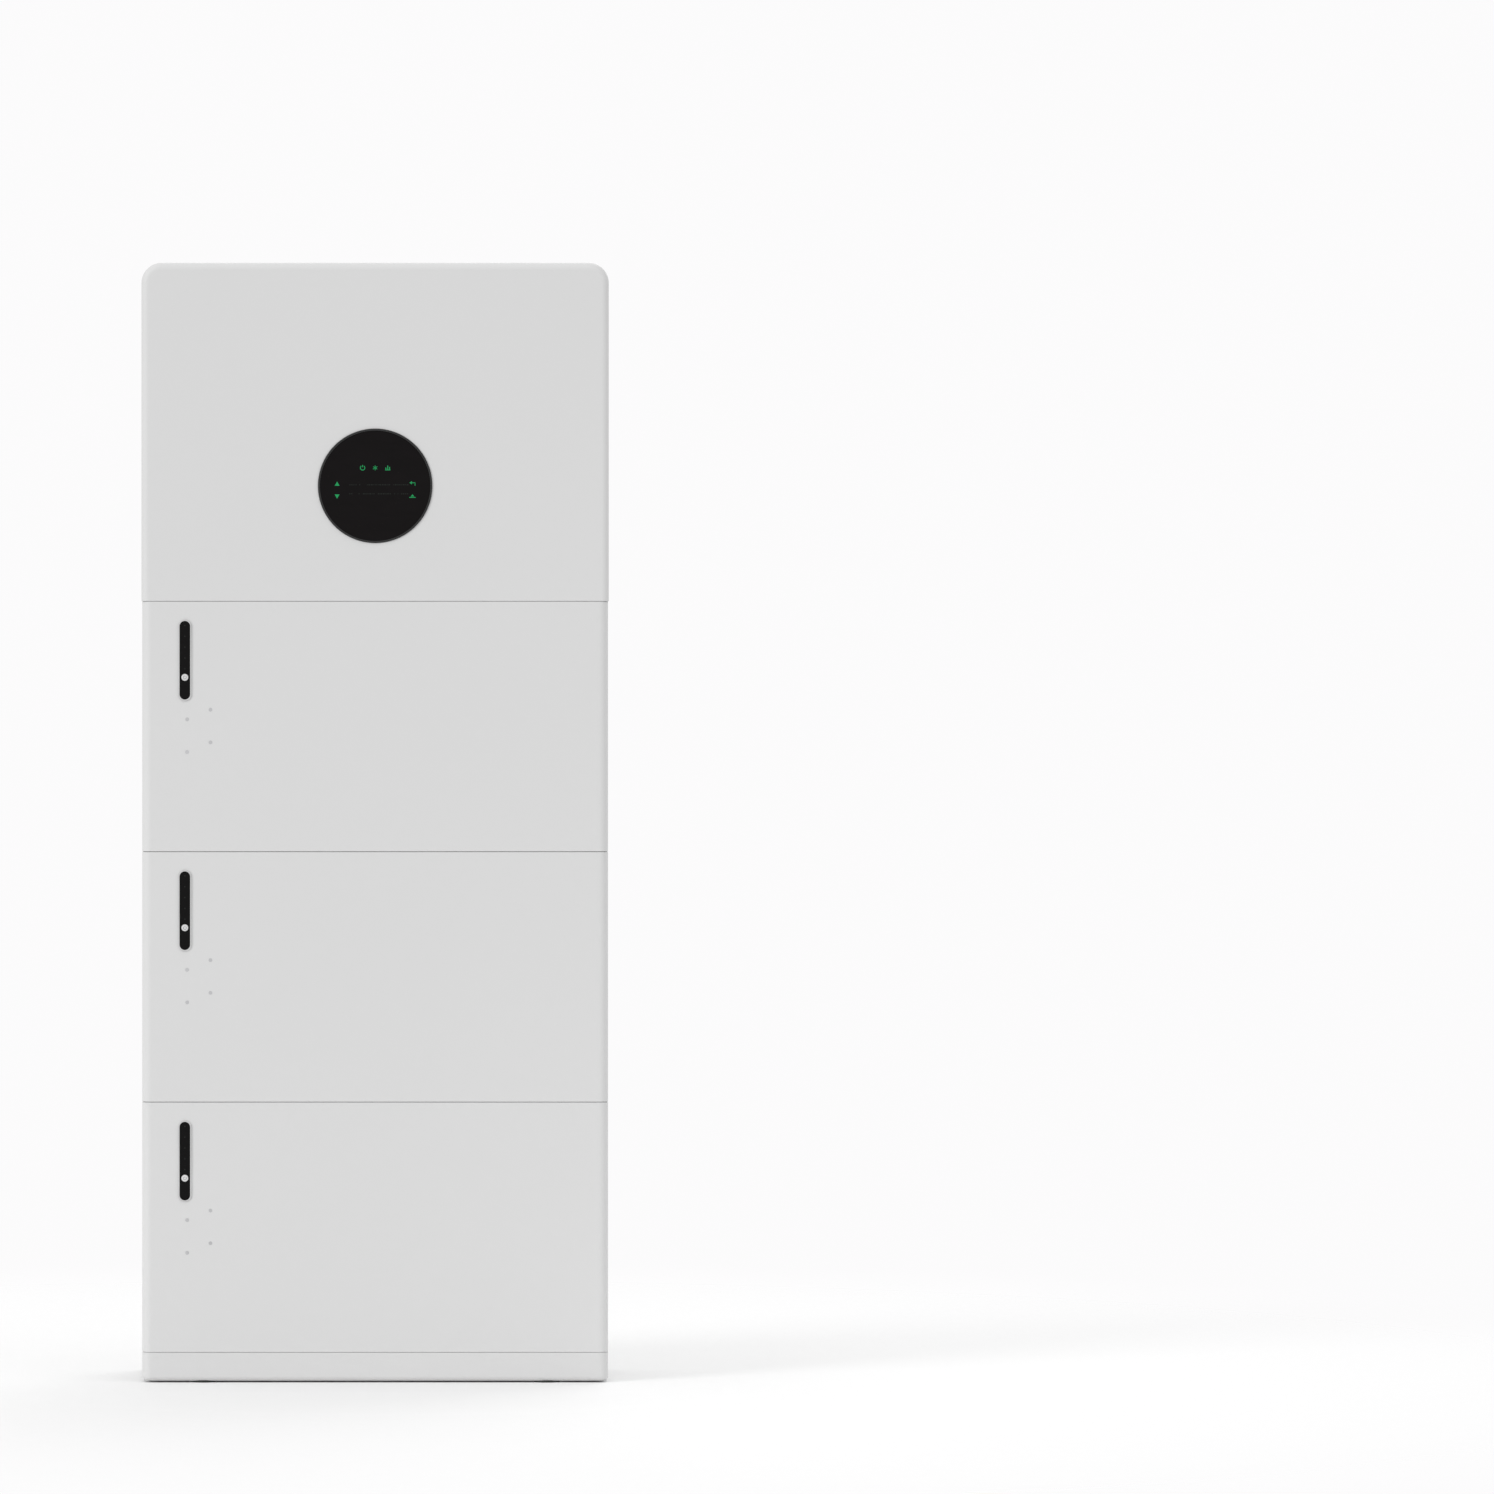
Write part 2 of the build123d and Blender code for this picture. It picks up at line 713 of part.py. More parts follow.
def make_bms_board(number, level):
    front = bms_board_back - board_thickness
    foot = level + bms_rise
    with BuildPart() as board:
        upright_board(bms_x, (front, bms_board_back), (foot, level + bms_top))
        for floor in layers:
            stud_top = level + floor + layer_height
            stud_y = (lead_y - busbar_width / 2, front)
            block((lead_left, lead_left + busbar_width), stud_y, (stud_top - busbar_width, stud_top))
        for left, right, height, low, high in bms_components:
            block((bms_x[0] + left, bms_x[0] + right), (front - height, front), (foot + low, foot + high))
        spreader_left, _, _, spreader_low, spreader_high = bms_heat_spreader
        fin_z = (foot + spreader_low, foot + spreader_high)
        for index in range(bms_fin_count):
            fin_x = bms_x[0] + spreader_left + bms_fin_pitch * index
            block((fin_x, fin_x + bms_fin_thickness), (front - bms_fin_height, front), fin_z)
    board.part.label = f"module_{number}_bms_board"
    export_step(board.part, f"parts/module_{number}_bms_board.step")


def make_handle_cups(number, level):
    z = level + cup_rise
    axis_x = module_side - handle_axis_depth
    axis_z = z + cup_height / 2 - handle_axis_drop
    ends = (cup_centre_y - cup_width / 2, cup_centre_y + cup_width / 2)
    with BuildPart() as cups:
        size = (cup_width, cup_height)
        side_recess(1, module_side, cup_centre_y, z, size, cup_depth, cup_wall, cup_corner, cup_flange, sheet)
        rod_y(axis_x, ends, axis_z, trunnion_radius + running_clearance, Mode.SUBTRACT)
        mirror(about=Plane.YZ)
    cups.part.label = f"module_{number}_handle_cups"
    export_step(cups.part, f"parts/module_{number}_handle_cups.step")


def make_handle(number, level, side, name):
    axis_x = side * (module_side - handle_axis_depth)
    axis_z = level + cup_rise + cup_height / 2 - handle_axis_drop
    grip_z = axis_z - handle_reach
    inner = cup_width / 2 - cup_wall - handle_gap
    arm_front = cup_centre_y - inner + handle_hub_length / 2
    arm_back = cup_centre_y + inner - handle_hub_length / 2
    with BuildPart() as handle:
        with BuildLine():
            corner_points = [
                (axis_x, arm_front, axis_z),
                (axis_x, arm_front, grip_z),
                (axis_x, arm_back, grip_z),
                (axis_x, arm_back, axis_z),
            ]
            FilletPolyline(*corner_points, radius=handle_bend)
        with BuildSketch(Plane((axis_x, arm_front, axis_z), (1, 0, 0), (0, 0, -1))):
            Circle(handle_radius)
        sweep()
        for way in (-1, 1):
            outer = cup_centre_y + way * inner
            rod_y(axis_x, (outer, outer - way * handle_hub_length), axis_z, handle_hub_radius)
            end = cup_centre_y + way * (cup_width / 2 + trunnion_over)
            rod_y(axis_x, (outer, end), axis_z, trunnion_radius)
    handle.part.label = f"module_{number}_{name}_handle"
    export_step(handle.part, f"parts/module_{number}_{name}_handle.step")


for module_number, module_level in enumerate(module_levels, 1):
    make_case(module_number, module_level)
    make_front_cover(module_number, module_level)
    make_bar_lens(module_number, module_level)
    make_power_button(module_number, module_level)
    make_indicator_board(module_number, module_level)
    make_cells(module_number, module_level)
    make_bms_board(module_number, module_level)
    make_handle_cups(module_number, module_level)
    make_handle(module_number, module_level, -1, "left")
    make_handle(module_number, module_level, 1, "right")


# ---- pieces that repeat from module to module ----

with BuildPart() as bar_bezels:
    rim_size = (bar_width + 2 * bezel_rim, bar_height + 2 * bezel_rim)
    stem_growth = 2 * (bezel_wall + fit_gap)
    stem_size = (bar_width + stem_growth, bar_height + stem_growth)
    window_size = (bar_width + 2 * fit_gap, bar_height + 2 * fit_gap)
    bezel_front = cover_front - bezel_proud
    for level in module_levels:
        bezel_z = level + module_pitch - bar_drop
        slot_block_y(bar_x, (bezel_front, cover_front), bezel_z, *rim_size)
    fillet(bar_bezels.faces().group_by(Axis.Y)[0].edges(), cover_edge_round)
    for level in module_levels:
        bezel_z = level + module_pitch - bar_drop
        slot_block_y(bar_x, (cover_front, bezel_rear), bezel_z, *stem_size)
        slot_block_y(bar_x, (bezel_front, bezel_rear), bezel_z, *window_size, mode=Mode.SUBTRACT)
bar_bezels.part.label = "bar_bezels"
export_step(bar_bezels.part, "parts/bar_bezels.step")

with BuildPart() as light_pipes:
    collar_front = cover_front + cover_wall
    for level in module_levels:
        for x, drop in pipe_places:
            pipe_z = level + module_pitch - drop
            rod_y(x, (cover_front - fit_gap, pipe_end), pipe_z, pipe_radius)
            rod_y(x, (collar_front, collar_front + pipe_collar), pipe_z, pipe_collar_radius)
light_pipes.part.label = "light_pipes"
export_step(light_pipes.part, "parts/light_pipes.step")

with BuildPart() as module_gaskets:
    for level in module_levels:
        edge = seam_gap / 2 + gasket_inset
        gasket_y = (cover_rear, case_front)
        outer_x = module_side - gasket_inset
        block((-outer_x, outer_x), gasket_y, (level + edge, level + module_pitch - edge))
        inner_x = neck_side + fit_gap
        inner_edge = module_side - inner_x + seam_gap / 2
        inner_z = (level + inner_edge, level + module_pitch - inner_edge)
        block((-inner_x, inner_x), gasket_y, inner_z, Mode.SUBTRACT)
module_gaskets.part.label = "module_gaskets"
export_step(module_gaskets.part, "parts/module_gaskets.step")

with BuildPart() as cover_screws:
    for side in (-1, 1):
        for level in module_levels:
            for rise in screw_rise:
                screw(side, module_side, screw_y, level + rise)
        for rise in inverter_screw_rise:
            screw(side, inverter_side, inverter_screw_y, inverter_level + rise)
cover_screws.part.label = "cover_screws"
export_step(cover_screws.part, "parts/cover_screws.step")

with BuildPart() as cell_trays:
    tray_x = (pack_left - tray_wall, pack_right + tray_wall)
    tray_y = (pack_front - sheet, pack_back + sheet)
    hollow_x = (pack_left - fit_gap, pack_right + fit_gap)
    hollow_y = (pack_front - fit_gap, pack_back + fit_gap)
    post_y = (tray_y[0], lead_y - busbar_width / 2 - lead_clearance)
    for level in module_levels:
        for low, floor in ((level + sheet, level + lower_layer), (level + shelf_low, level + upper_layer)):
            block(tray_x, tray_y, (low, floor + tray_rim))
            block(hollow_x, hollow_y, (floor, floor + tray_rim), Mode.SUBTRACT)
        post_z = (level + lower_layer + tray_rim, level + shelf_low)
        block((tray_x[0], hollow_x[0]), post_y, post_z)
        block((hollow_x[1], tray_x[1]), post_y, post_z)
cell_trays.part.label = "cell_trays"
export_step(cell_trays.part, "parts/cell_trays.step")

with BuildPart() as busbars:
    for level in module_levels:
        for floor in layers:
            bar_low = level + floor + layer_height
            bar_z = (bar_low, bar_low + busbar_thickness)
            for index in range(cells_per_layer - 1):
                way = -1 if index % 2 == 0 else 1
                bar_y = cells_centre_y + way * terminal_offset
                bar_left = cell_centres[index] - busbar_width / 2
                bar_right = cell_centres[index + 1] + busbar_width / 2
                bar_depth = (bar_y - busbar_width / 2, bar_y + busbar_width / 2)
                block((bar_left, bar_right), bar_depth, bar_z)
            lead_x = (lead_left, cell_centres[0] + busbar_width / 2)
            block(lead_x, (lead_y - busbar_width / 2, lead_y + busbar_width / 2), bar_z)
busbars.part.label = "busbars"
export_step(busbars.part, "parts/busbars.step")

with BuildPart() as stack_dowels:
    joints = [(plinth_top, plinth_wall)]
    joints += [(level + module_pitch, sheet) for level in module_levels]
    for joint_z, plate in joints:
        for x in (-dowel_x, dowel_x):
            flange_top = joint_z - plate
            point_low = joint_z + dowel_length - dowel_point
            rod_z(x, dowel_y, (flange_top - dowel_flange, flange_top), dowel_flange_radius)
            rod_z(x, dowel_y, (flange_top, point_low), dowel_radius)
            with Locations((x, dowel_y, point_low + dowel_point / 2)):
                Cone(dowel_radius, dowel_radius - dowel_point / 2, dowel_point)
stack_dowels.part.label = "stack_dowels"
export_step(stack_dowels.part, "parts/stack_dowels.step")

with BuildPart() as stack_connectors:
    for level in module_levels:
        joint_z = level + module_pitch
        upper_plate = casting_wall if level == module_levels[-1] else sheet
        half_x, half_y = plug_size[0] / 2, plug_size[1] / 2
        plug_x = (link_x - half_x, link_x + half_x)
        plug_y = (link_y - half_y, link_y + half_y)
        flange_z = (joint_z - sheet - plug_flange_thickness, joint_z - sheet)
        flange_x = (plug_x[0] - plug_flange, plug_x[1] + plug_flange)
        flange_y = (plug_y[0] - plug_flange, plug_y[1] + plug_flange)
        block(flange_x, flange_y, flange_z)
        block(plug_x, plug_y, (joint_z - sheet, joint_z + plug_height))
        shell = socket_clearance + socket_wall
        socket_low = joint_z + upper_plate
        socket_x = (plug_x[0] - shell, plug_x[1] + shell)
        socket_y = (plug_y[0] - shell, plug_y[1] + shell)
        block(socket_x, socket_y, (socket_low, socket_low + socket_height))
        cavity_x = (plug_x[0] - socket_clearance, plug_x[1] + socket_clearance)
        cavity_y = (plug_y[0] - socket_clearance, plug_y[1] + socket_clearance)
        block(cavity_x, cavity_y, (socket_low, socket_low + socket_depth), Mode.SUBTRACT)
        block(plug_x, plug_y, (socket_low, joint_z + plug_height))
stack_connectors.part.label = "stack_connectors"
export_step(stack_connectors.part, "parts/stack_connectors.step")


# ---- inverter ----

switch_z = inverter_level + switch_recess_rise
cable_z = inverter_level + cable_recess_rise
isolator_z = inverter_level + isolator_rise
breaker_z = inverter_level + breaker_rise
display_z = inverter_level + display_rise
bracket_z = inverter_top - bracket_drop
hook_low = bracket_z + bracket_height / 2 + bracket_lip
switch_floor = -(inverter_side - switch_recess_depth)
switch_face = switch_floor - recess_wall
cable_floor = inverter_side - cable_recess_depth
cable_face = cable_floor + recess_wall
power_board_x = (
    switch_floor + breaker_body_size[0] + power_board_clearance[0],
    cable_floor - power_board_clearance[1],
)
power_board_z = (inverter_level + power_board_margin[0], inverter_top - power_board_margin[1])
display_stem_radius = display_radius - display_stem_inset
display_lens_radius = display_radius - display_rim
fins_each_side = int((inverter_side - fin_side_margin) / fin_pitch)

with BuildPart() as inverter_chassis:
    arched_block(0, (casting_front, casting_wall_back))
    neck_inset = inverter_cover_wall + neck_clearance
    arched_block(casting_wall, (casting_front, casting_wall_back - casting_back), Mode.SUBTRACT)
    arched_block(neck_inset, (casting_neck_front, casting_neck_rear))
    arched_block(neck_inset + casting_neck_wall, (casting_neck_front, casting_neck_rear), Mode.SUBTRACT)
    fin_z = (inverter_level + fin_margin, inverter_top - fin_margin)
    half = fin_thickness / 2
    for index in range(-fins_each_side, fins_each_side + 1):
        fin_x = index * fin_pitch
        block((fin_x - half, fin_x + half), (casting_wall_back, stack_back), fin_z)
    for x in (-hook_x, hook_x):
        hook_span = (x - hook_width / 2, x + hook_width / 2)
        block(hook_span, (casting_wall_back, hook_back), (hook_low, hook_low + hook_arm))
        block(hook_span, (hook_back - hook_tongue, hook_back), (hook_low - hook_drop, hook_low))
    cut_width = recess_width + 2 * hole_clearance
    cut_corner = recess_corner + hole_clearance
    left_wall = (-inverter_side, -inverter_side + casting_wall)
    switch_cut = (cut_width, switch_recess_height + 2 * hole_clearance, cut_corner)
    rounded_block_x(left_wall, recess_centre_y, switch_z, *switch_cut, mode=Mode.SUBTRACT)
    right_wall = (inverter_side - casting_wall, inverter_side)
    cable_cut = (cut_width, cable_recess_height + 2 * hole_clearance, cut_corner)
    rounded_block_x(right_wall, recess_centre_y, cable_z, *cable_cut, mode=Mode.SUBTRACT)
    for side in (-1, 1):
        neck_outer = inverter_side - neck_inset
        neck_x = (side * (neck_outer - casting_neck_wall), side * neck_outer)
        for rise in inverter_screw_rise:
            z = inverter_level + rise
            rod_x(neck_x, inverter_screw_y, z, screw_radius + running_clearance, Mode.SUBTRACT)
        floor_plate = (inverter_level, inverter_level + casting_wall)
        rod_z(side * dowel_x, dowel_y, floor_plate, dowel_radius + hole_clearance, Mode.SUBTRACT)
    link_opening((inverter_level, inverter_level + casting_wall), socket_clearance)
    for x, z in corners(power_board_x, power_board_z, stake_inset):
        stake(x, z, casting_wall_back - casting_back, power_board_back)
inverter_chassis.part.label = "inverter_chassis"
export_step(inverter_chassis.part, "parts/inverter_chassis.step")

with BuildPart() as inverter_front_cover:
    inverter_cover_rear = casting_front - inverter_gasket
    arched_block(0, (cover_front, inverter_cover_rear), foot_round=0)
    front_edges = inverter_front_cover.faces().sort_by(Axis.Y)[0].edges()
    above_foot = front_edges.filter_by(lambda edge: edge.center().Z > inverter_level + inverter_foot_round)
    fillet(above_foot, inverter_cover_round)
    foot_edges = inverter_front_cover.faces().sort_by(Axis.Z)[0].edges()
    rear_limit = inverter_cover_rear - inverter_foot_round
    fillet(foot_edges.filter_by(lambda edge: edge.center().Y < rear_limit), inverter_foot_round)
    arched_block(inverter_cover_wall, (cover_front + inverter_cover_wall, inverter_cover_rear), Mode.SUBTRACT)
    cover_skin = (cover_front, cover_front + inverter_cover_wall)
    rod_y(0, cover_skin, display_z, display_stem_radius + fit_gap, Mode.SUBTRACT)
    for side in (-1, 1):
        for rise in inverter_screw_rise:
            screw_hole(side, inverter_side, inverter_screw_y, inverter_level + rise)
inverter_front_cover.part.label = "inverter_front_cover"
export_step(inverter_front_cover.part, "parts/inverter_front_cover.step")

with BuildPart() as inverter_seal:
    arched_block(gasket_inset, (casting_front - inverter_gasket, casting_front))
    seal_inner = inverter_cover_wall + neck_clearance - fit_gap
    arched_block(seal_inner, (casting_front - inverter_gasket, casting_front), Mode.SUBTRACT)
inverter_seal.part.label = "inverter_gasket"
export_step(inverter_seal.part, "parts/inverter_gasket.step")

display_front = cover_front - display_proud
lens_front = display_front + display_lens_inset
lens_rear = lens_front + display_lens_thickness
stake_plane = Plane((0, display_stem_rear, display_z), (1, 0, 0), (0, -1, 0))

with BuildPart() as display_bezel:
    rod_y(0, (display_front, cover_front), display_z, display_radius)
    fillet(display_bezel.faces().sort_by(Axis.Y)[0].edges(), cover_edge_round)
    rod_y(0, (cover_front, display_stem_rear), display_z, display_stem_radius)
    window_radius = display_radius - display_window_inset
    rod_y(0, (display_front, display_stem_rear), display_z, window_radius, Mode.SUBTRACT)
    rod_y(0, (display_front, lens_rear), display_z, display_lens_radius + fit_gap, Mode.SUBTRACT)
    with Locations(stake_plane):
        with PolarLocations(display_radius - display_stake_inset, display_stake_count, start_angle=90):
            Cylinder(display_stake_pin, board_thickness, align=(Align.CENTER, Align.CENTER, Align.MAX))
display_bezel.part.label = "display_bezel"
export_step(display_bezel.part, "parts/display_bezel.step")

with BuildPart() as display_lens:
    rod_y(0, (lens_front, lens_rear), display_z, display_lens_radius)
    fillet(display_lens.faces().sort_by(Axis.Y)[0].edges(), display_lens_thickness / 3)
display_lens.part.label = "display_lens"
export_step(display_lens.part, "parts/display_lens.step")

with BuildPart() as display_board:
    display_board_rear = display_stem_rear + board_thickness
    rod_y(0, (display_stem_rear, display_board_rear), display_z, display_radius - display_board_inset)
    with Locations(stake_plane):
        with PolarLocations(display_radius - display_stake_inset, display_stake_count, start_angle=90):
            Cylinder(display_stake_pin + fit_gap, 2 * board_thickness, mode=Mode.SUBTRACT)
    half_x, half_z = lcd_size[0] / 2, lcd_size[1] / 2
    lcd_y = (display_stem_rear - lcd_height, display_stem_rear)
    block((-half_x, half_x), lcd_y, (display_z - half_z, display_z + half_z))
    for left, right, height, low, high in display_components:
        chip_y = (display_board_rear, display_board_rear + height)
        block((left, right), chip_y, (display_z + low, display_z + high))
display_board.part.label = "display_board"
export_step(display_board.part, "parts/display_board.step")

board_front = power_board_back - board_thickness
board_left, board_right = power_board_x
board_foot, board_head = power_board_z

# as many coils and columns of capacitors as the board has room for
coil_room = board_right - relay_reach - power_part_gap - inductor_radius
inductor_count = int((coil_room - board_left - inductor_inset) / inductor_pitch) + 1
can_room = board_right - power_module_reach - power_part_gap - capacitor_radius
capacitor_columns = int((can_room - board_left - inductor_inset) / capacitor_pitch) + 1

with BuildPart() as main_board:
    upright_board(power_board_x, (board_front, power_board_back), power_board_z)
    for left, right, height, low, high in power_components:
        part_x = (board_right - left, board_right - right)
        block(part_x, (board_front - height, board_front), (board_foot + low, board_foot + high))
main_board.part.label = "main_board"
export_step(main_board.part, "parts/main_board.step")

with BuildPart() as inductors:
    coil_y = (board_front - inductor_height, board_front)
    coil_x = [board_left + inductor_inset + inductor_pitch * index for index in range(inductor_count)]
    for x in coil_x:
        rod_y(x, coil_y, board_foot + inductor_rise, inductor_radius)
    for x in coil_x:
        rod_y(x, coil_y, board_foot + inductor_rise, inductor_bore, Mode.SUBTRACT)
    fillet(inductors.faces().group_by(Axis.Y)[0].edges(), inductor_round)
inductors.part.label = "inductors"
export_step(inductors.part, "parts/inductors.step")

with BuildPart() as capacitors:
    can_y = (board_front - capacitor_height, board_front)
    for column in range(capacitor_columns):
        for row in range(capacitor_rows):
            x = board_left + inductor_inset + capacitor_pitch * column
            z = board_head - capacitor_drop + capacitor_pitch * row
            rod_y(x, can_y, z, capacitor_radius)
    fillet(capacitors.faces().group_by(Axis.Y)[0].edges(), capacitor_round)
capacitors.part.label = "capacitors"
export_step(capacitors.part, "parts/capacitors.step")

with BuildPart() as wall_bracket:
    plate_front = wall_face - bracket_sheet
    shelf_top = bracket_z + bracket_height / 2
    half = bracket_width / 2
    block((-half, half), (plate_front, wall_face), (bracket_z - bracket_height / 2, shelf_top))
    block((-half, half), (bracket_shelf_front, wall_face), (shelf_top - bracket_sheet, shelf_top))
    lip_y = (bracket_shelf_front, bracket_shelf_front + bracket_sheet)
    block((-half, half), lip_y, (shelf_top - bracket_sheet, hook_low))
    for x in (-bracket_hole_x, bracket_hole_x):
        for rise in (-bracket_hole_rise, bracket_hole_rise):
            rod_y(x, (plate_front, wall_face), bracket_z + rise, bracket_hole_radius, Mode.SUBTRACT)
wall_bracket.part.label = "wall_bracket"
export_step(wall_bracket.part, "parts/wall_bracket.step")


# ---- switches in the left recess ----

flap_axis_x = switch_face - flap_axis_out
flap_axis_z = breaker_z + flap_axis_rise
flap_inner_x = flap_axis_x - flap_offset

with BuildPart() as switch_tray:
    tray_size = (recess_width, switch_recess_height)
    side_recess(
        -1, inverter_side, recess_centre_y, switch_z, tray_size,
        switch_recess_depth, recess_wall, recess_corner, recess_flange, casting_wall,
    )
    floor_x = (switch_floor, switch_face)
    rod_x(floor_x, recess_centre_y, isolator_z, isolator_bush_radius + hole_clearance, Mode.SUBTRACT)
    nose_half_y = breaker_nose[1] / 2 + hole_clearance
    nose_half_z = breaker_nose[2] / 2 + hole_clearance
    nose_y = (recess_centre_y - nose_half_y, recess_centre_y + nose_half_y)
    block(floor_x, nose_y, (breaker_z - nose_half_z, breaker_z + nose_half_z), Mode.SUBTRACT)
    for way in (-1, 1):
        lug_inner = recess_centre_y + way * lug_half_inner
        lug_y = (lug_inner, lug_inner + way * lug_thickness)
        block((switch_face, flap_axis_x), lug_y, (flap_axis_z - lug_radius, flap_axis_z + lug_radius))
        rod_y(flap_axis_x, lug_y, flap_axis_z, lug_radius)
        rod_y(flap_axis_x, lug_y, flap_axis_z, flap_pin_radius + running_clearance, Mode.SUBTRACT)
        stop_outer = recess_centre_y + way * flap_half_width
        stop_y = (stop_outer - way * stop_size, stop_outer)
        stop_low = flap_axis_z + flap_barrel_radius - flap_height + stop_size
        stop_x = (switch_face, flap_inner_x + fit_gap)
        block(stop_x, stop_y, (stop_low, stop_low + stop_size))
switch_tray.part.label = "switch_tray"
export_step(switch_tray.part, "parts/switch_tray.step")

with BuildPart() as dc_switch_body:
    depth, width, height = isolator_body
    body_y = (recess_centre_y - width / 2, recess_centre_y + width / 2)
    block((switch_floor, switch_floor + depth), body_y, (isolator_z - height / 2, isolator_z + height / 2))
    bush_end = switch_face - isolator_bush
    rod_x((switch_floor, bush_end), recess_centre_y, isolator_z, isolator_bush_radius)
    bore_x = (bush_end, bush_end + isolator_bore_depth)
    rod_x(bore_x, recess_centre_y, isolator_z, knob_shaft_radius + running_clearance, Mode.SUBTRACT)
dc_switch_body.part.label = "dc_switch_body"
export_step(dc_switch_body.part, "parts/dc_switch_body.step")

with BuildPart() as dc_switch_knob:
    knob_rear = bush_end - knob_gap
    skirt_front = knob_rear - knob_skirt
    rod_x((knob_rear, skirt_front), recess_centre_y, isolator_z, knob_radius)
    fillet(dc_switch_knob.faces().sort_by(Axis.X)[0].edges(), 2 * cover_edge_round)
    grip_x = (skirt_front - knob_grip[0], skirt_front)
    half_y, half_z = knob_grip[1] / 2, knob_grip[2] / 2
    grip_y = (recess_centre_y - half_y, recess_centre_y + half_y)
    block(grip_x, grip_y, (isolator_z - half_z, isolator_z + half_z))
    fillet(dc_switch_knob.faces().sort_by(Axis.X)[0].edges(), 2 * cover_edge_round)
    shaft_x = (knob_rear, knob_rear + knob_gap + knob_shaft_length)
    rod_x(shaft_x, recess_centre_y, isolator_z, knob_shaft_radius)
dc_switch_knob.part.label = "dc_switch_knob"
export_step(dc_switch_knob.part, "parts/dc_switch_knob.step")

with BuildPart() as breaker_body:
    depth, width, height = breaker_body_size
    body_y = (recess_centre_y - width / 2, recess_centre_y + width / 2)
    block((switch_floor, switch_floor + depth), body_y, (breaker_z - height / 2, breaker_z + height / 2))
    nose_end = switch_face - breaker_nose[0]
    nose_z = (breaker_z - breaker_nose[2] / 2, breaker_z + breaker_nose[2] / 2)
    block((nose_end, switch_floor), body_y, nose_z)
    slot_y = (recess_centre_y - breaker_slot[1] / 2, recess_centre_y + breaker_slot[1] / 2)
    slot_z = (breaker_z - breaker_slot[2] / 2, breaker_z + breaker_slot[2] / 2)
    block((nose_end, nose_end + breaker_slot[0]), slot_y, slot_z, Mode.SUBTRACT)
    lever_axis_x = switch_face - lever_axis_out
    pin_y = (slot_y[0] - lever_pin_length - fit_gap, slot_y[1] + lever_pin_length + fit_gap)
    rod_y(lever_axis_x, pin_y, breaker_z, lever_pin_radius + running_clearance, Mode.SUBTRACT)
breaker_body.part.label = "breaker_body"
export_step(breaker_body.part, "parts/breaker_body.step")

with BuildPart() as breaker_lever:
    half = lever_width / 2
    lever_y = (recess_centre_y - half, recess_centre_y + half)
    tilt = radians(lever_tilt)
    arm_plane = Plane((lever_axis_x, recess_centre_y, breaker_z), (-cos(tilt), 0, sin(tilt)), (0, 1, 0))
    with BuildSketch(arm_plane):
        with Locations((lever_length / 2, 0)):
            Rectangle(lever_length, lever_thickness)
    extrude(amount=half, both=True)
    fillet(breaker_lever.edges().filter_by(Axis.Y).group_by(Axis.X)[0], lever_thickness / 4)
    rod_y(lever_axis_x, lever_y, breaker_z, lever_hub_radius)
    long_pin = (slot_y[0] - lever_pin_length, slot_y[1] + lever_pin_length)
    rod_y(lever_axis_x, long_pin, breaker_z, lever_pin_radius)
breaker_lever.part.label = "breaker_lever"
export_step(breaker_lever.part, "parts/breaker_lever.step")

with BuildPart() as breaker_flap:
    barrel_y = (recess_centre_y - flap_half_barrel, recess_centre_y + flap_half_barrel)
    rod_y(flap_axis_x, barrel_y, flap_axis_z, flap_barrel_radius)
    pin_half = lug_half_inner + lug_thickness
    pin_span = (recess_centre_y - pin_half, recess_centre_y + pin_half)
    rod_y(flap_axis_x, pin_span, flap_axis_z, flap_pin_radius)
    web_z = (flap_axis_z - flap_barrel_radius, flap_axis_z + flap_barrel_radius)
    block((flap_inner_x, flap_axis_x), barrel_y, web_z)
    panel_y = (recess_centre_y - flap_half_width, recess_centre_y + flap_half_width)
    flap_outer_x = flap_inner_x - flap_thickness
    panel_z = (web_z[1] - flap_height, web_z[1])
    block((flap_outer_x, flap_inner_x), panel_y, panel_z)
    block((flap_outer_x - flap_lip, flap_outer_x), panel_y, (panel_z[0], panel_z[0] + flap_thickness))
breaker_flap.part.label = "breaker_flap"
export_step(breaker_flap.part, "parts/breaker_flap.step")


# ---- cable connections in the right recess ----

solar_places = [(recess_centre_y + way * solar_spread, rise) for rise in solar_rise for way in (-1, 1)]

with BuildPart() as connector_tray:
    tray_size = (recess_width, cable_recess_height)
    side_recess(
        1, inverter_side, recess_centre_y, cable_z, tray_size,
        cable_recess_depth, recess_wall, recess_corner, recess_flange, casting_wall,
    )
    floor_x = (cable_floor, cable_face)
    for y, rise in solar_places:
        rod_x(floor_x, y, inverter_level + rise, solar_barrel_radius + hole_clearance, Mode.SUBTRACT)
    for rise, offset, outer, bore in gland_places:
        thread = (outer + bore) / 2
        y = recess_centre_y + offset
        rod_x(floor_x, y, inverter_level + rise, thread + hole_clearance, Mode.SUBTRACT)
    earth_z = inverter_level + earth_rise
    rod_x(floor_x, recess_centre_y + earth_y, earth_z, earth_radius + fit_gap, Mode.SUBTRACT)
connector_tray.part.label = "connector_tray"
export_step(connector_tray.part, "parts/connector_tray.step")

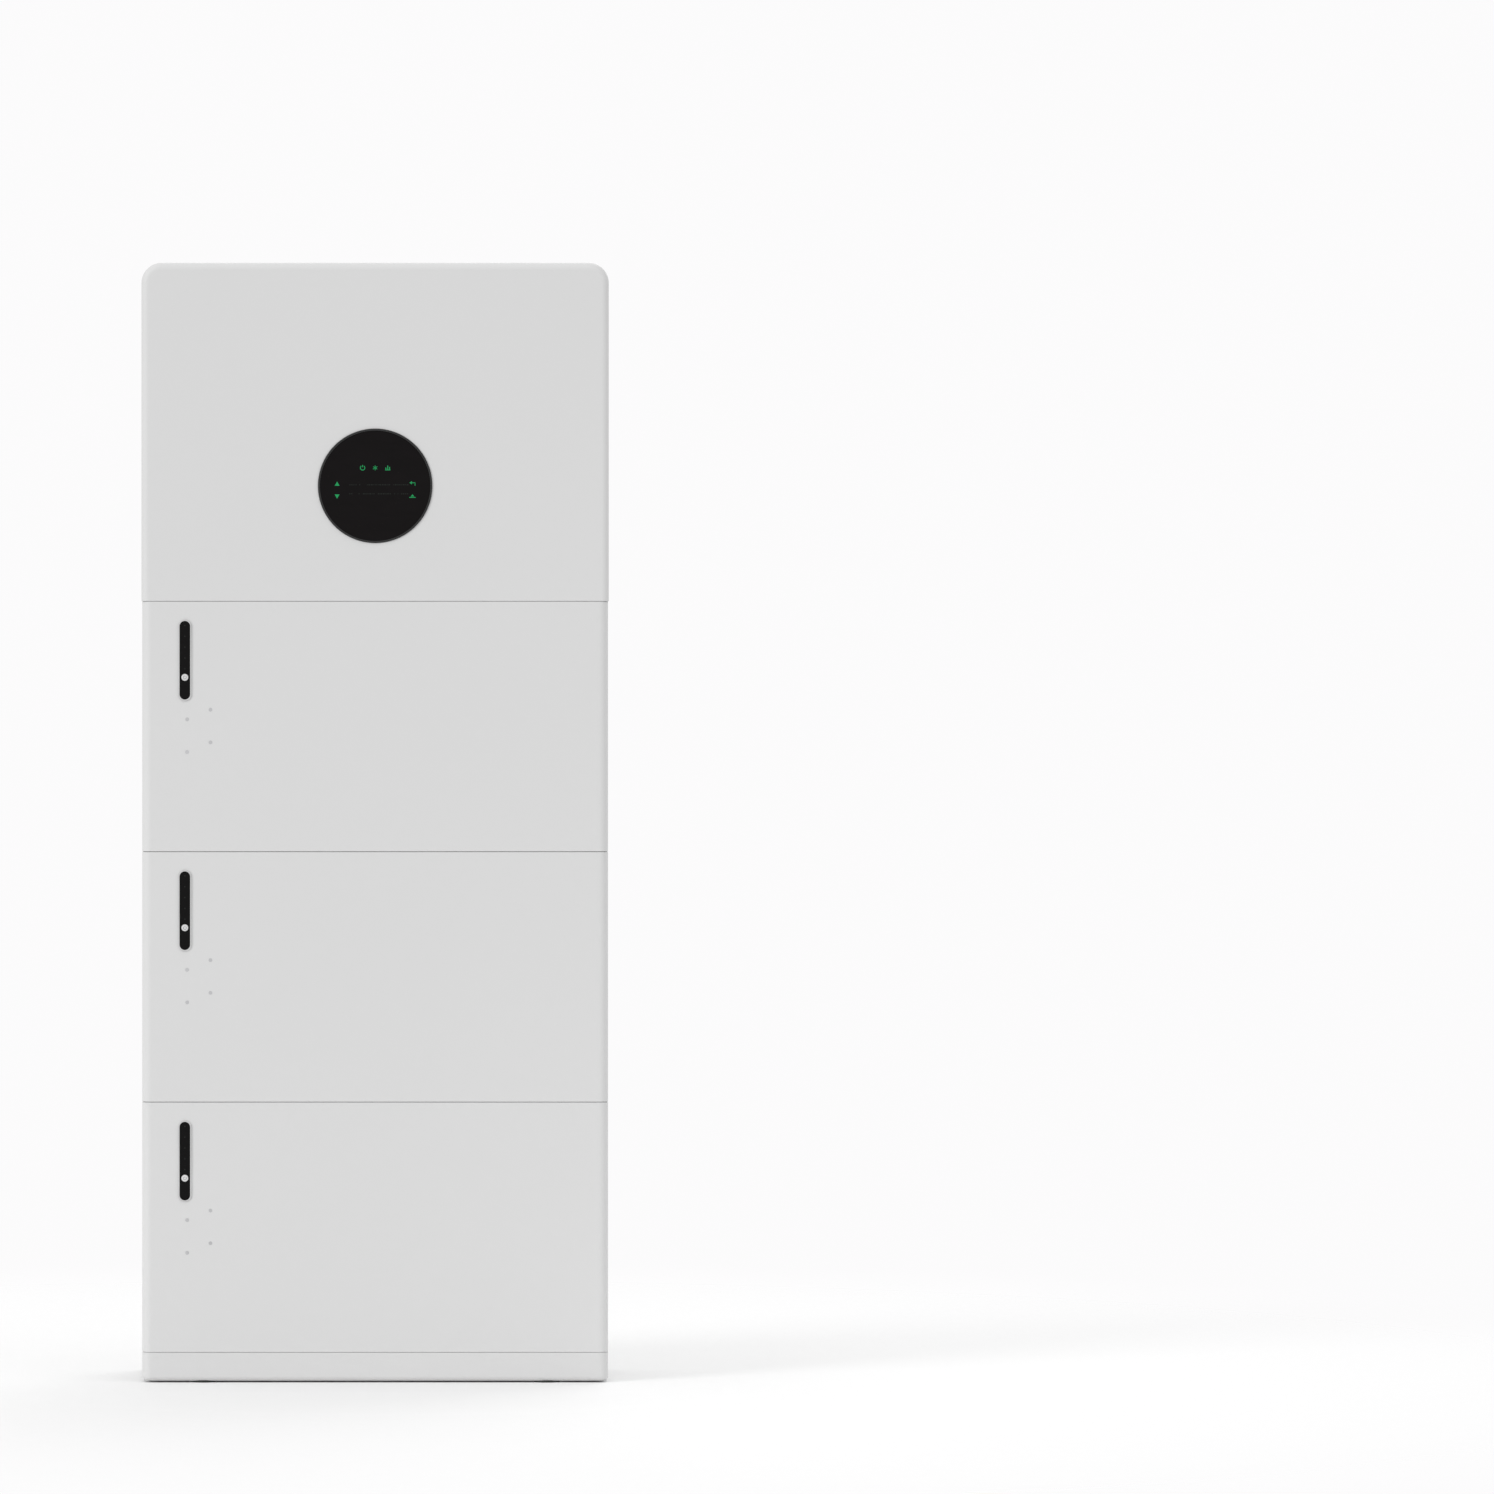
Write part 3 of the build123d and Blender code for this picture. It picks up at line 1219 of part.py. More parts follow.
with BuildPart() as pv_connectors:
    for index, (y, rise) in enumerate(solar_places):
        z = inverter_level + rise
        barrel_x = cable_face + solar_flange
        tip_x = barrel_x + solar_barrel
        hex_block_x((cable_face, barrel_x), y, z, solar_flange_across)
        rod_x((cable_floor - gland_lock_nut, tip_x), y, z, solar_barrel_radius)
        hex_block_x((cable_floor - gland_lock_nut, cable_floor), y, z, solar_flange_across)
        bore_low = tip_x - solar_bore_depth
        rod_x((bore_low, tip_x), y, z, solar_bore_radius, Mode.SUBTRACT)
        pin_tip = bore_low + solar_pin_length
        if index % 2 == 0:
            rod_x((bore_low, pin_tip), y, z, solar_pin_radius)
pv_connectors.part.label = "pv_connectors"
export_step(pv_connectors.part, "parts/pv_connectors.step")

with BuildPart() as cable_glands:
    for rise, offset, outer, bore in gland_places:
        y = recess_centre_y + offset
        z = inverter_level + rise
        thread = (outer + bore) / 2
        dome_x = cable_face + gland_flange
        inner_end = cable_floor - gland_thread
        hex_block_x((cable_face, dome_x), y, z, 2 * outer)
        with Locations(Location((dome_x + gland_dome / 2, y, z), (0, 90, 0))):
            Cone(outer - gland_dome_round, bore + gland_dome_lip, gland_dome)
        rod_x((inner_end, cable_face), y, z, thread)
        hex_block_x((cable_floor - gland_lock_nut, cable_floor), y, z, 2 * outer)
        rod_x((inner_end, dome_x + gland_dome), y, z, bore, Mode.SUBTRACT)
cable_glands.part.label = "cable_glands"
export_step(cable_glands.part, "parts/cable_glands.step")

with BuildPart() as earth_stud:
    y = recess_centre_y + earth_y
    hex_block_x((cable_face, cable_face + earth_nut), y, earth_z, earth_nut_across)
    hex_block_x((cable_floor - earth_nut, cable_floor), y, earth_z, earth_nut_across)
    rod_x((cable_floor - earth_nut, cable_face + earth_nut + earth_length), y, earth_z, earth_radius)
earth_stud.part.label = "earth_stud"
export_step(earth_stud.part, "parts/earth_stud.step")
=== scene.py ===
import bpy, bmesh, json, math, random
from mathutils import Matrix, Vector


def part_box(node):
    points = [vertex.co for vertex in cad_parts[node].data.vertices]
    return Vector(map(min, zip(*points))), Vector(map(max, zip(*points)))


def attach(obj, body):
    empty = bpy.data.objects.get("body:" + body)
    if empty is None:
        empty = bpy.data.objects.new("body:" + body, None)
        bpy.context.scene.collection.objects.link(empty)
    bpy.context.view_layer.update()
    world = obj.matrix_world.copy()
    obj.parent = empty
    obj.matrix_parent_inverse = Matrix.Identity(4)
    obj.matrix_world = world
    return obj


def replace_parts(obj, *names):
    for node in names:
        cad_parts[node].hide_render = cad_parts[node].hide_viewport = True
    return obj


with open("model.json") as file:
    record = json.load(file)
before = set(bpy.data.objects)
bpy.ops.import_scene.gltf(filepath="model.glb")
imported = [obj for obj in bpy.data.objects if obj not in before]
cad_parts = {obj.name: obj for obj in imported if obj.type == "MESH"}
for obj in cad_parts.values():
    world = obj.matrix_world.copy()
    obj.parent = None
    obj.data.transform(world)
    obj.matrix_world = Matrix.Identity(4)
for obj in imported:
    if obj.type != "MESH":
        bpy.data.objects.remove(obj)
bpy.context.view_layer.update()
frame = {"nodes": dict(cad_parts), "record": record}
nodes = frame["nodes"]
record = frame["record"]
slotOf = {entry["node"]: entry["material_slot"] for entry in record["subparts"]}
moduleNumbers = (1, 2, 3)
print("frame loaded:", len(nodes), "nodes")


def addNode(tree, kind, values=None, **settings):
    # values sets input sockets by name or number; a socket given as a value is linked
    node = tree.nodes.new(kind)
    for key, value in settings.items():
        setattr(node, key, value)
    for key, value in (values or {}).items():
        if isinstance(value, bpy.types.NodeSocket):
            tree.links.new(value, node.inputs[key])
        else:
            node.inputs[key].default_value = value
    return node


def noise(tree, vector, scale, detail, **values):
    return addNode(tree, "ShaderNodeTexNoise", {"Vector": vector, "Scale": scale, "Detail": detail, **values})


def calc(tree, operation, first, second=0.0, clamp=False):
    node = addNode(tree, "ShaderNodeMath", {0: first, 1: second}, operation=operation, use_clamp=clamp)
    return node.outputs[0]


def remap(tree, value, low, high, toLow=0.0, toHigh=1.0):
    values = {"Value": value, "From Min": low, "From Max": high, "To Min": toLow, "To Max": toHigh}
    return addNode(tree, "ShaderNodeMapRange", values, clamp=True).outputs["Result"]


def blendColour(tree, mask, first, second):
    node = addNode(tree, "ShaderNodeMix", data_type="RGBA")
    for socket, value in ((node.inputs[0], mask), (node.inputs[6], first), (node.inputs[7], second)):
        if isinstance(value, bpy.types.NodeSocket):
            tree.links.new(value, socket)
        else:
            socket.default_value = value if isinstance(value, float) else (*value, 1.0)
    return node.outputs[2]


def newGroup(name, inputs, outputs):
    group = bpy.data.node_groups.new(name, "ShaderNodeTree")
    kind = "NodeSocketFloat"
    for label, value in inputs.items():
        group.interface.new_socket(name=label, in_out="INPUT", socket_type=kind).default_value = value
    for label in outputs:
        group.interface.new_socket(name=label, in_out="OUTPUT", socket_type=kind)
    return group, group.nodes.new("NodeGroupInput").outputs, group.nodes.new("NodeGroupOutput").inputs


def useGroup(tree, group, **values):
    # values name the group's inputs, with spaces left out
    node = tree.nodes.new("ShaderNodeGroup")
    node.node_tree = group
    for socket in node.inputs:
        key = socket.name.replace(" ", "")
        if key in values:
            socket.default_value = values[key]
    return node.outputs


def makeCoatGrain():
    # powder coat: soft orange peel with a finer grain on it, and slow drifts of tone
    given = {"Peel Scale": 420.0, "Grain Scale": 1900.0}
    group, given, made = newGroup("coatGrain", given, ("Height", "Tone"))
    where = addNode(group, "ShaderNodeTexCoord").outputs["Object"]
    peel = noise(group, where, given[0], 2.0, Roughness=0.5)
    grain = addNode(group, "ShaderNodeTexVoronoi", {"Vector": where, "Scale": given[1], "Smoothness": 1.0},
                    feature="SMOOTH_F1")
    drift = noise(group, where, 2.3, 3.0, Roughness=0.55)
    fleck = noise(group, where, given[1], 1.0)
    height = calc(group, "MULTIPLY_ADD", grain.outputs["Distance"], 0.35)
    group.links.new(peel.outputs[0], height.node.inputs[2])
    group.links.new(height, made["Height"])
    tone = calc(group, "MULTIPLY_ADD", fleck.outputs[0], 0.5)
    group.links.new(calc(group, "MULTIPLY", drift.outputs[0], 0.5), tone.node.inputs[2])
    group.links.new(tone, made["Tone"])
    return group


def makeMouldGrain():
    # spark-eroded mould texture: tiny pits of uneven size
    group, given, made = newGroup("mouldGrain", {"Scale": 1500.0}, ("Height", "Tone"))
    where = addNode(group, "ShaderNodeTexCoord").outputs["Object"]
    pits = addNode(group, "ShaderNodeTexVoronoi", {"Vector": where, "Scale": given[0], "Randomness": 1.0})
    soft = noise(group, where, given[0], 4.0, Roughness=0.7)
    drift = noise(group, where, 14.0, 3.0)
    height = calc(group, "MULTIPLY", pits.outputs["Distance"], soft.outputs[0])
    group.links.new(height, made["Height"])
    tone = calc(group, "MULTIPLY_ADD", soft.outputs[0], 0.4)
    group.links.new(calc(group, "MULTIPLY", drift.outputs[0], 0.6), tone.node.inputs[2])
    group.links.new(tone, made["Tone"])
    return group


def makeEdgeWear():
    # rubbed edges: where a bevelled normal leaves the true one, broken up by noise
    group, given, made = newGroup("edgeWear", {"Radius": 0.0008, "Amount": 0.5}, ("Mask",))
    where = addNode(group, "ShaderNodeTexCoord").outputs["Object"]
    bevel = addNode(group, "ShaderNodeBevel", {"Radius": given[0]}, samples=4)
    true = addNode(group, "ShaderNodeNewGeometry").outputs["Normal"]
    facing = addNode(group, "ShaderNodeVectorMath", {0: bevel.outputs[0], 1: true}, operation="DOT_PRODUCT")
    edge = remap(group, facing.outputs["Value"], 0.995, 0.86)
    patch = noise(group, where, 55.0, 5.0, Roughness=0.65)
    worn = calc(group, "MULTIPLY", edge, remap(group, patch.outputs[0], 0.42, 0.62))
    group.links.new(calc(group, "MULTIPLY", worn, given[1], True), made["Mask"])
    return group


def makeSettledDust():
    # a thin film on what faces up
    group, given, made = newGroup("settledDust", {"Amount": 0.3}, ("Mask",))
    where = addNode(group, "ShaderNodeTexCoord").outputs["Object"]
    normal = addNode(group, "ShaderNodeNewGeometry").outputs["Normal"]
    up = addNode(group, "ShaderNodeSeparateXYZ", {0: normal}).outputs["Z"]
    film = noise(group, where, 30.0, 6.0, Roughness=0.7)
    lying = calc(group, "MULTIPLY", remap(group, up, 0.6, 0.98), remap(group, film.outputs[0], 0.3, 0.75))
    group.links.new(calc(group, "MULTIPLY", lying, given[0], True), made["Mask"])
    return group


def makeHandling():
    # faint wiping marks and prints that break up a gloss
    group, given, made = newGroup("handling", {"Scale": 18.0}, ("Mask",))
    where = addNode(group, "ShaderNodeTexCoord").outputs["Object"]
    wipe = addNode(group, "ShaderNodeMapping", {"Vector": where, "Scale": (1.0, 1.0, 3.2)})
    broad = noise(group, wipe.outputs[0], given[0], 5.0, Distortion=0.8)
    group.links.new(remap(group, broad.outputs[0], 0.38, 0.72), made["Mask"])
    return group


def makeBrushed():
    # drawn or turned metal: fine lines that run a long way in X
    group, given, made = newGroup("brushed", {"Fine": 1400.0, "Long": 30.0}, ("Height", "Tone"))
    where = addNode(group, "ShaderNodeTexCoord").outputs["Object"]
    stretch = addNode(group, "ShaderNodeCombineXYZ", {0: given[1], 1: given[0], 2: given[0]})
    grown = addNode(group, "ShaderNodeVectorMath", {0: where, 1: stretch.outputs[0]}, operation="MULTIPLY")
    lines = noise(group, grown.outputs[0], 1.0, 3.0)
    drift = noise(group, where, 60.0, 4.0)
    group.links.new(lines.outputs[0], made["Height"])
    tone = calc(group, "MULTIPLY_ADD", lines.outputs[0], 0.5)
    group.links.new(calc(group, "MULTIPLY", drift.outputs[0], 0.5), tone.node.inputs[2])
    group.links.new(tone, made["Tone"])
    return group


coatGrain = makeCoatGrain()
mouldGrain = makeMouldGrain()
edgeWear = makeEdgeWear()
settledDust = makeSettledDust()
handling = makeHandling()
brushed = makeBrushed()
print("shared effects made")


def newMaterial(name):
    material = bpy.data.materials.new(name)
    material.use_nodes = True
    tree = material.node_tree
    return material, tree, tree.nodes["Principled BSDF"]


def feed(tree, shader, **sockets):
    # sets or links the shader's own sockets
    names = {"colour": "Base Color", "rough": "Roughness", "metal": "Metallic", "gloss": "Specular IOR Level",
             "normal": "Normal", "light": "Emission Color", "lightPower": "Emission Strength",
             "clear": "Transmission Weight", "ior": "IOR"}
    for key, value in sockets.items():
        socket = shader.inputs[names[key]]
        if isinstance(value, bpy.types.NodeSocket):
            tree.links.new(value, socket)
        else:
            socket.default_value = (*value, 1.0) if isinstance(value, tuple) else value


def bump(tree, height, distance):
    values = {"Height": height, "Distance": distance, "Strength": 1.0}
    return addNode(tree, "ShaderNodeBump", values).outputs[0]


def shade(colour, factor):
    return tuple(min(1.0, part * factor) for part in colour)


def powderCoat(name, look):
    material, tree, shader = newMaterial(name)
    grain = useGroup(tree, coatGrain, PeelScale=look["peelScale"], GrainScale=look["grainScale"])
    wear = useGroup(tree, edgeWear, Radius=look["wearRadius"], Amount=look["wear"])
    dust = useGroup(tree, settledDust, Amount=look["dust"])
    tone = remap(tree, grain["Tone"], 0.3, 0.7)
    colour = blendColour(tree, tone, shade(look["colour"], 1 - look["drift"]),
                         shade(look["colour"], 1 + look["drift"]))
    colour = blendColour(tree, wear["Mask"], colour, look["wornColour"])
    colour = blendColour(tree, dust["Mask"], colour, look["dustColour"])
    rough = remap(tree, grain["Tone"], 0.25, 0.75, look["rough"] - 0.05, look["rough"] + 0.05)
    feed(tree, shader, colour=colour, rough=rough, gloss=look["gloss"],
         normal=bump(tree, grain["Height"], look["relief"]))
    return material


def moulding(name, look):
    material, tree, shader = newMaterial(name)
    grain = useGroup(tree, mouldGrain, Scale=look.get("scale", 1500.0))
    wear = useGroup(tree, edgeWear, Radius=0.0005, Amount=look.get("wear", 0.35))
    dust = useGroup(tree, settledDust, Amount=look.get("dust", 0.15))
    tone = remap(tree, grain["Tone"], 0.25, 0.75)
    colour = blendColour(tree, tone, shade(look["colour"], 0.86), shade(look["colour"], 1.14))
    colour = blendColour(tree, wear["Mask"], colour, shade(look["colour"], look.get("wornFactor", 1.7)))
    colour = blendColour(tree, dust["Mask"], colour, (0.42, 0.40, 0.37))
    rough = remap(tree, grain["Tone"], 0.2, 0.8, look["rough"] - 0.07, look["rough"] + 0.07)
    feed(tree, shader, colour=colour, rough=rough, gloss=look.get("gloss", 0.5),
         normal=bump(tree, grain["Height"], look.get("relief", 0.00006)))
    return material


def glossBlack(name, look):
    material, tree, shader = newMaterial(name)
    prints = useGroup(tree, handling, Scale=look["smearScale"])
    wear = useGroup(tree, edgeWear, Radius=0.0003, Amount=0.25)
    colour = blendColour(tree, prints["Mask"], look["colour"], shade(look["colour"], 1.25))
    colour = blendColour(tree, wear["Mask"], colour, (0.06, 0.06, 0.06))
    rough = remap(tree, prints["Mask"], 0.0, 1.0, look["rough"], look["rough"] + 0.09)
    where = addNode(tree, "ShaderNodeTexCoord").outputs["Object"]
    ripple = noise(tree, where, 9.0, 1.0)
    feed(tree, shader, colour=colour, rough=rough, gloss=look["gloss"],
         normal=bump(tree, ripple.outputs[0], 0.00004))
    return material


def bareMetal(name, look):
    material, tree, shader = newMaterial(name)
    lines = useGroup(tree, brushed, Fine=look.get("fine", 1400.0), Long=look.get("long", 30.0))
    wear = useGroup(tree, edgeWear, Radius=0.0004, Amount=0.6)
    tone = remap(tree, lines["Tone"], 0.3, 0.7)
    colour = blendColour(tree, tone, shade(look["colour"], 0.82), shade(look["colour"], 1.12))
    colour = blendColour(tree, wear["Mask"], colour, shade(look["colour"], 1.35))
    rough = remap(tree, lines["Tone"], 0.25, 0.75, look["rough"] - 0.08, look["rough"] + 0.1)
    feed(tree, shader, colour=colour, rough=rough, metal=1.0, normal=bump(tree, lines["Height"], 0.00002))
    return material


def galvanised(name, look):
    # zinc spangle: flat crystals of differing grey
    material, tree, shader = newMaterial(name)
    where = addNode(tree, "ShaderNodeTexCoord").outputs["Object"]
    warp = noise(tree, where, 90.0, 2.0)
    shift = {0: warp.outputs["Color"], 1: (0.006, 0.006, 0.006), 2: where}
    moved = addNode(tree, "ShaderNodeVectorMath", shift, operation="MULTIPLY_ADD")
    crystal = addNode(tree, "ShaderNodeTexVoronoi", {"Vector": moved.outputs[0], "Scale": look["spangle"]})
    shadeOf = addNode(tree, "ShaderNodeSeparateColor", {0: crystal.outputs["Color"]}).outputs[0]
    colour = blendColour(tree, shadeOf, shade(look["colour"], 0.78), shade(look["colour"], 1.15))
    rough = remap(tree, shadeOf, 0.0, 1.0, 0.34, 0.52)
    feed(tree, shader, colour=colour, rough=rough, metal=1.0, normal=bump(tree, warp.outputs[0], 0.00003))
    return material


def circuitBoard(name, look):
    # solder mask over copper runs, with what stands off the board's two faces told apart by its depth
    material, tree, shader = newMaterial(name)
    where = addNode(tree, "ShaderNodeTexCoord").outputs["Object"]
    depth = addNode(tree, "ShaderNodeSeparateXYZ", {0: where}).outputs["Y"]
    before = remap(tree, depth, look["front"] - 0.0002, look["front"] - 0.0001, 1.0, 0.0)
    behind = remap(tree, depth, look["back"] + 0.0001, look["back"] + 0.0002)
    standing = calc(tree, "ADD", before, behind, True)
    black, white = (0, 0, 0, 1), (1, 1, 1, 1)
    upright = addNode(tree, "ShaderNodeMapping", {"Vector": where, "Rotation": (math.radians(90), 0, 0)})
    runs = addNode(tree, "ShaderNodeTexBrick", {"Vector": upright.outputs[0], "Scale": 62.0, "Color1": black,
                                                "Color2": black, "Mortar": white, "Mortar Size": 0.035,
                                                "Mortar Smooth": 0.2}, offset=0.37)
    patches = addNode(tree, "ShaderNodeTexVoronoi", {"Vector": where, "Scale": 150.0}, distance="MANHATTAN")
    lines = addNode(tree, "ShaderNodeSeparateColor", {0: runs.outputs["Color"]}).outputs[0]
    copper = calc(tree, "MAXIMUM", lines, remap(tree, patches.outputs["Distance"], 0.14, 0.1))
    mask = blendColour(tree, copper, look["mask"], shade(look["mask"], 1.9))
    chips = addNode(tree, "ShaderNodeTexVoronoi", {"Vector": where, "Scale": 26.0}, distance="CHEBYCHEV")
    pick = addNode(tree, "ShaderNodeSeparateColor", {0: chips.outputs["Color"]}).outputs[0]
    part = blendColour(tree, remap(tree, pick, 0.62, 0.66), (0.018, 0.018, 0.02), (0.34, 0.34, 0.33))
    colour = blendColour(tree, standing, mask, part)
    rough = remap(tree, standing, 0.0, 1.0, 0.28, 0.5)
    feed(tree, shader, colour=colour, rough=rough, normal=bump(tree, copper, 0.00003))
    return material


def cellSleeve(name, look):
    # blue sleeve on the sides, bright aluminium on top
    material, tree, shader = newMaterial(name)
    normal = addNode(tree, "ShaderNodeNewGeometry").outputs["Normal"]
    top = remap(tree, addNode(tree, "ShaderNodeSeparateXYZ", {0: normal}).outputs["Z"], 0.9, 0.95)
    prints = useGroup(tree, handling, Scale=40.0)
    sleeve = blendColour(tree, prints["Mask"], look["colour"], shade(look["colour"], 1.3))
    colour = blendColour(tree, top, sleeve, (0.72, 0.73, 0.74))
    rough = remap(tree, prints["Mask"], 0.0, 1.0, 0.22, 0.36)
    feed(tree, shader, colour=colour, rough=rough, metal=top, normal=bump(tree, prints["Mask"], 0.00005))
    return material


def clearSheet(name, look):
    material, tree, shader = newMaterial(name)
    prints = useGroup(tree, handling, Scale=30.0)
    rough = remap(tree, prints["Mask"], 0.0, 1.0, 0.03, 0.11)
    tint = blendColour(tree, prints["Mask"], look["colour"], shade(look["colour"], 0.94))
    feed(tree, shader, colour=tint, rough=rough, clear=1.0, ior=1.5)
    return material


def litMark(name, look):
    # printed symbol lit from behind, a little uneven
    material, tree, shader = newMaterial(name)
    where = addNode(tree, "ShaderNodeTexCoord").outputs["Object"]
    glow = noise(tree, where, 700.0, 2.0)
    colour = blendColour(tree, glow.outputs[0], shade(look["colour"], 0.7), shade(look["colour"], 1.2))
    feed(tree, shader, colour=colour, rough=0.4, gloss=0.1, light=colour, lightPower=look["power"])
    return material


looks = {
    "cover_paint": (powderCoat, {"colour": (0.62, 0.62, 0.62), "drift": 0.008, "rough": 0.55, "gloss": 0.35,
                                 "peelScale": 420.0, "grainScale": 1900.0, "relief": 0.00003, "wear": 0.25,
                                 "wearRadius": 0.0008, "wornColour": (0.50, 0.50, 0.50), "dust": 0.16,
                                 "dustColour": (0.55, 0.54, 0.52)}),
    "case_paint": (powderCoat, {"colour": (0.618, 0.618, 0.618), "drift": 0.02, "rough": 0.6, "gloss": 0.35,
                                "peelScale": 300.0, "grainScale": 1500.0, "relief": 0.00006, "wear": 0.45,
                                "wearRadius": 0.0008, "wornColour": (0.42, 0.42, 0.42), "dust": 0.2,
                                "dustColour": (0.5, 0.49, 0.47)}),
    "cast_paint": (powderCoat, {"colour": (0.56, 0.56, 0.565), "drift": 0.03, "rough": 0.62, "gloss": 0.35,
                                "peelScale": 220.0, "grainScale": 900.0, "relief": 0.00012, "wear": 0.6,
                                "wearRadius": 0.0009, "wornColour": (0.4, 0.4, 0.41), "dust": 0.3,
                                "dustColour": (0.5, 0.49, 0.47)}),
    "bar_lens": (glossBlack, {"colour": (0.0034, 0.0032, 0.0032), "rough": 0.12, "gloss": 0.1,
                              "smearScale": 60.0}),
    "display_glass": (glossBlack, {"colour": (0.0037, 0.0028, 0.003), "rough": 0.08, "gloss": 0.1,
                                   "smearScale": 22.0}),
    "display_trim": (glossBlack, {"colour": (0.02, 0.02, 0.02), "rough": 0.3, "gloss": 0.3,
                                  "smearScale": 50.0}),
    "button": (moulding, {"colour": (0.6, 0.6, 0.6), "rough": 0.45, "scale": 2400.0, "wear": 0.2,
                          "wornFactor": 0.8, "dust": 0.05}),
    "bezel_trim": (moulding, {"colour": (0.5, 0.5, 0.5), "rough": 0.42, "scale": 2200.0, "wear": 0.2,
                              "wornFactor": 1.2, "dust": 0.1}),
    "light_pipe": (moulding, {"colour": (0.47, 0.47, 0.48), "rough": 0.35, "scale": 2600.0, "wear": 0.2,
                              "wornFactor": 0.8, "dust": 0.05}),
    "dark_moulding": (moulding, {"colour": (0.085, 0.085, 0.09), "rough": 0.6, "scale": 1100.0}),
    "handle": (moulding, {"colour": (0.03, 0.03, 0.032), "rough": 0.55, "scale": 1400.0, "wear": 0.6}),
    "cell_tray": (moulding, {"colour": (0.04, 0.04, 0.044), "rough": 0.6}),
    "connector_black": (moulding, {"colour": (0.018, 0.018, 0.02), "rough": 0.48}),
    "gland": (moulding, {"colour": (0.026, 0.026, 0.028), "rough": 0.5, "scale": 1800.0}),
    "pad_rubber": (moulding, {"colour": (0.022, 0.022, 0.022), "rough": 0.85, "scale": 700.0,
                              "relief": 0.0002}),
    # black seal strips in the seam gaps behind the cover faces: partly a real gasket, partly painted shade
    # that darkens the seam lines
    "seal": (moulding, {"colour": (0.05, 0.05, 0.05), "rough": 0.9, "scale": 900.0, "relief": 0.0002}),
    "knob_red": (moulding, {"colour": (0.42, 0.018, 0.014), "rough": 0.4, "scale": 1700.0,
                            "wornFactor": 1.3}),
    "breaker_case": (moulding, {"colour": (0.6, 0.6, 0.58), "rough": 0.5, "scale": 1600.0,
                                "wornFactor": 0.85}),
    "capacitor_sleeve": (moulding, {"colour": (0.02, 0.03, 0.09), "rough": 0.3, "scale": 600.0}),
    "screw_steel": (bareMetal, {"colour": (0.62, 0.62, 0.64), "rough": 0.32}),
    "busbar_copper": (bareMetal, {"colour": (0.78, 0.42, 0.27), "rough": 0.34, "fine": 900.0,
                                  "long": 12.0}),
    "inductor_winding": (bareMetal, {"colour": (0.5, 0.22, 0.08), "rough": 0.3, "fine": 1200.0}),
    "bracket_steel": (galvanised, {"colour": (0.5, 0.51, 0.53), "spangle": 230.0}),
    "cell_can": (cellSleeve, {"colour": (0.03, 0.1, 0.32)}),
    "clear_flap": (clearSheet, {"colour": (0.86, 0.9, 0.92)}),
}
finishes = {slot: maker(slot, look) for slot, (maker, look) in looks.items()}

markLooks = {
    "iconGreen": {"colour": (0.012, 0.19, 0.062), "power": 0.6},
    "textGrey": {"colour": (0.013, 0.016, 0.014), "power": 0.2},
    "lampDim": {"colour": (0.02, 0.022, 0.02), "power": 0.05},
    "markWhite": {"colour": (0.6, 0.6, 0.6), "power": 0.0},
    "signGrey": {"colour": (0.13, 0.13, 0.135), "power": 0.0},
}
marks = {name: litMark(name, look) for name, look in markLooks.items()}

boardColour = (0.012, 0.085, 0.035)
boards = {}


def facePlanes(nodeName, axis, faces):
    # places along an axis of a node's flat faces, the largest last; faces(component) picks by the normal
    area = {}
    for face in nodes[nodeName].data.polygons:
        if faces(face.normal[axis]):
            key = round(face.center[axis], 4)
            area[key] = area.get(key, 0.0) + face.area
    return sorted(area, key=area.get)


def finishNode(name):
    slotName = slotOf[name]
    if slotName != "circuit_board":
        return finishes[slotName]
    kind = name.split("_", 2)[2] if name.startswith("module_") else name
    if kind not in boards:
        front, back = sorted(facePlanes(name, 1, lambda normal: abs(normal) > 0.99)[-2:])
        boards[kind] = circuitBoard(kind + "_mask", {"front": front, "back": back, "mask": boardColour})
    return boards[kind]


for nodeName, node in nodes.items():
    node.data.materials.clear()
    node.data.materials.append(finishNode(nodeName))
print("finishes given to", len(nodes), "nodes")


def newPiece(name, mesh, material, body="stack", smooth=True):
    data = bpy.data.meshes.new(name)
    bmesh.ops.recalc_face_normals(mesh, faces=mesh.faces)
    mesh.to_mesh(data)
    mesh.free()
    data.materials.append(material)
    if smooth:
        for face in data.polygons:
            face.use_smooth = True
        data.set_sharp_from_angle(angle=math.radians(32))
    piece = bpy.data.objects.new(name, data)
    bpy.context.scene.collection.objects.link(piece)
    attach(piece, body)
    return piece


def prism(mesh, outline, thickness, matrix):
    # closed slab of an outline in the local XY plane, from z 0 up to its thickness
    low = [mesh.verts.new(matrix @ Vector((x, y, 0.0))) for x, y in outline]
    high = [mesh.verts.new(matrix @ Vector((x, y, thickness))) for x, y in outline]
    mesh.faces.new(list(reversed(low)))
    mesh.faces.new(high)
    for index in range(len(outline)):
        after = (index + 1) % len(outline)
        mesh.faces.new((low[index], low[after], high[after], high[index]))


def ringOf(mesh, radius, height, matrix, steps, ripple, index):
    # points round the local Z axis, or the one point on it; ripple(angle, index) scales the radius
    if radius == 0.0:
        return [mesh.verts.new(matrix @ Vector((0, 0, height)))]
    ring = []
    for step in range(steps):
        angle = 2 * math.pi * step / steps
        size = radius * (ripple(angle, index) if ripple else 1.0)
        point = Vector((size * math.cos(angle), size * math.sin(angle), height))
        ring.append(mesh.verts.new(matrix @ point))
    return ring


def joinRings(mesh, first, second, steps):
    for step in range(steps):
        after = (step + 1) % steps
        corners = [first[step % len(first)], first[after % len(first)],
                   second[after % len(second)], second[step % len(second)]]
        mesh.faces.new(list(dict.fromkeys(corners)))


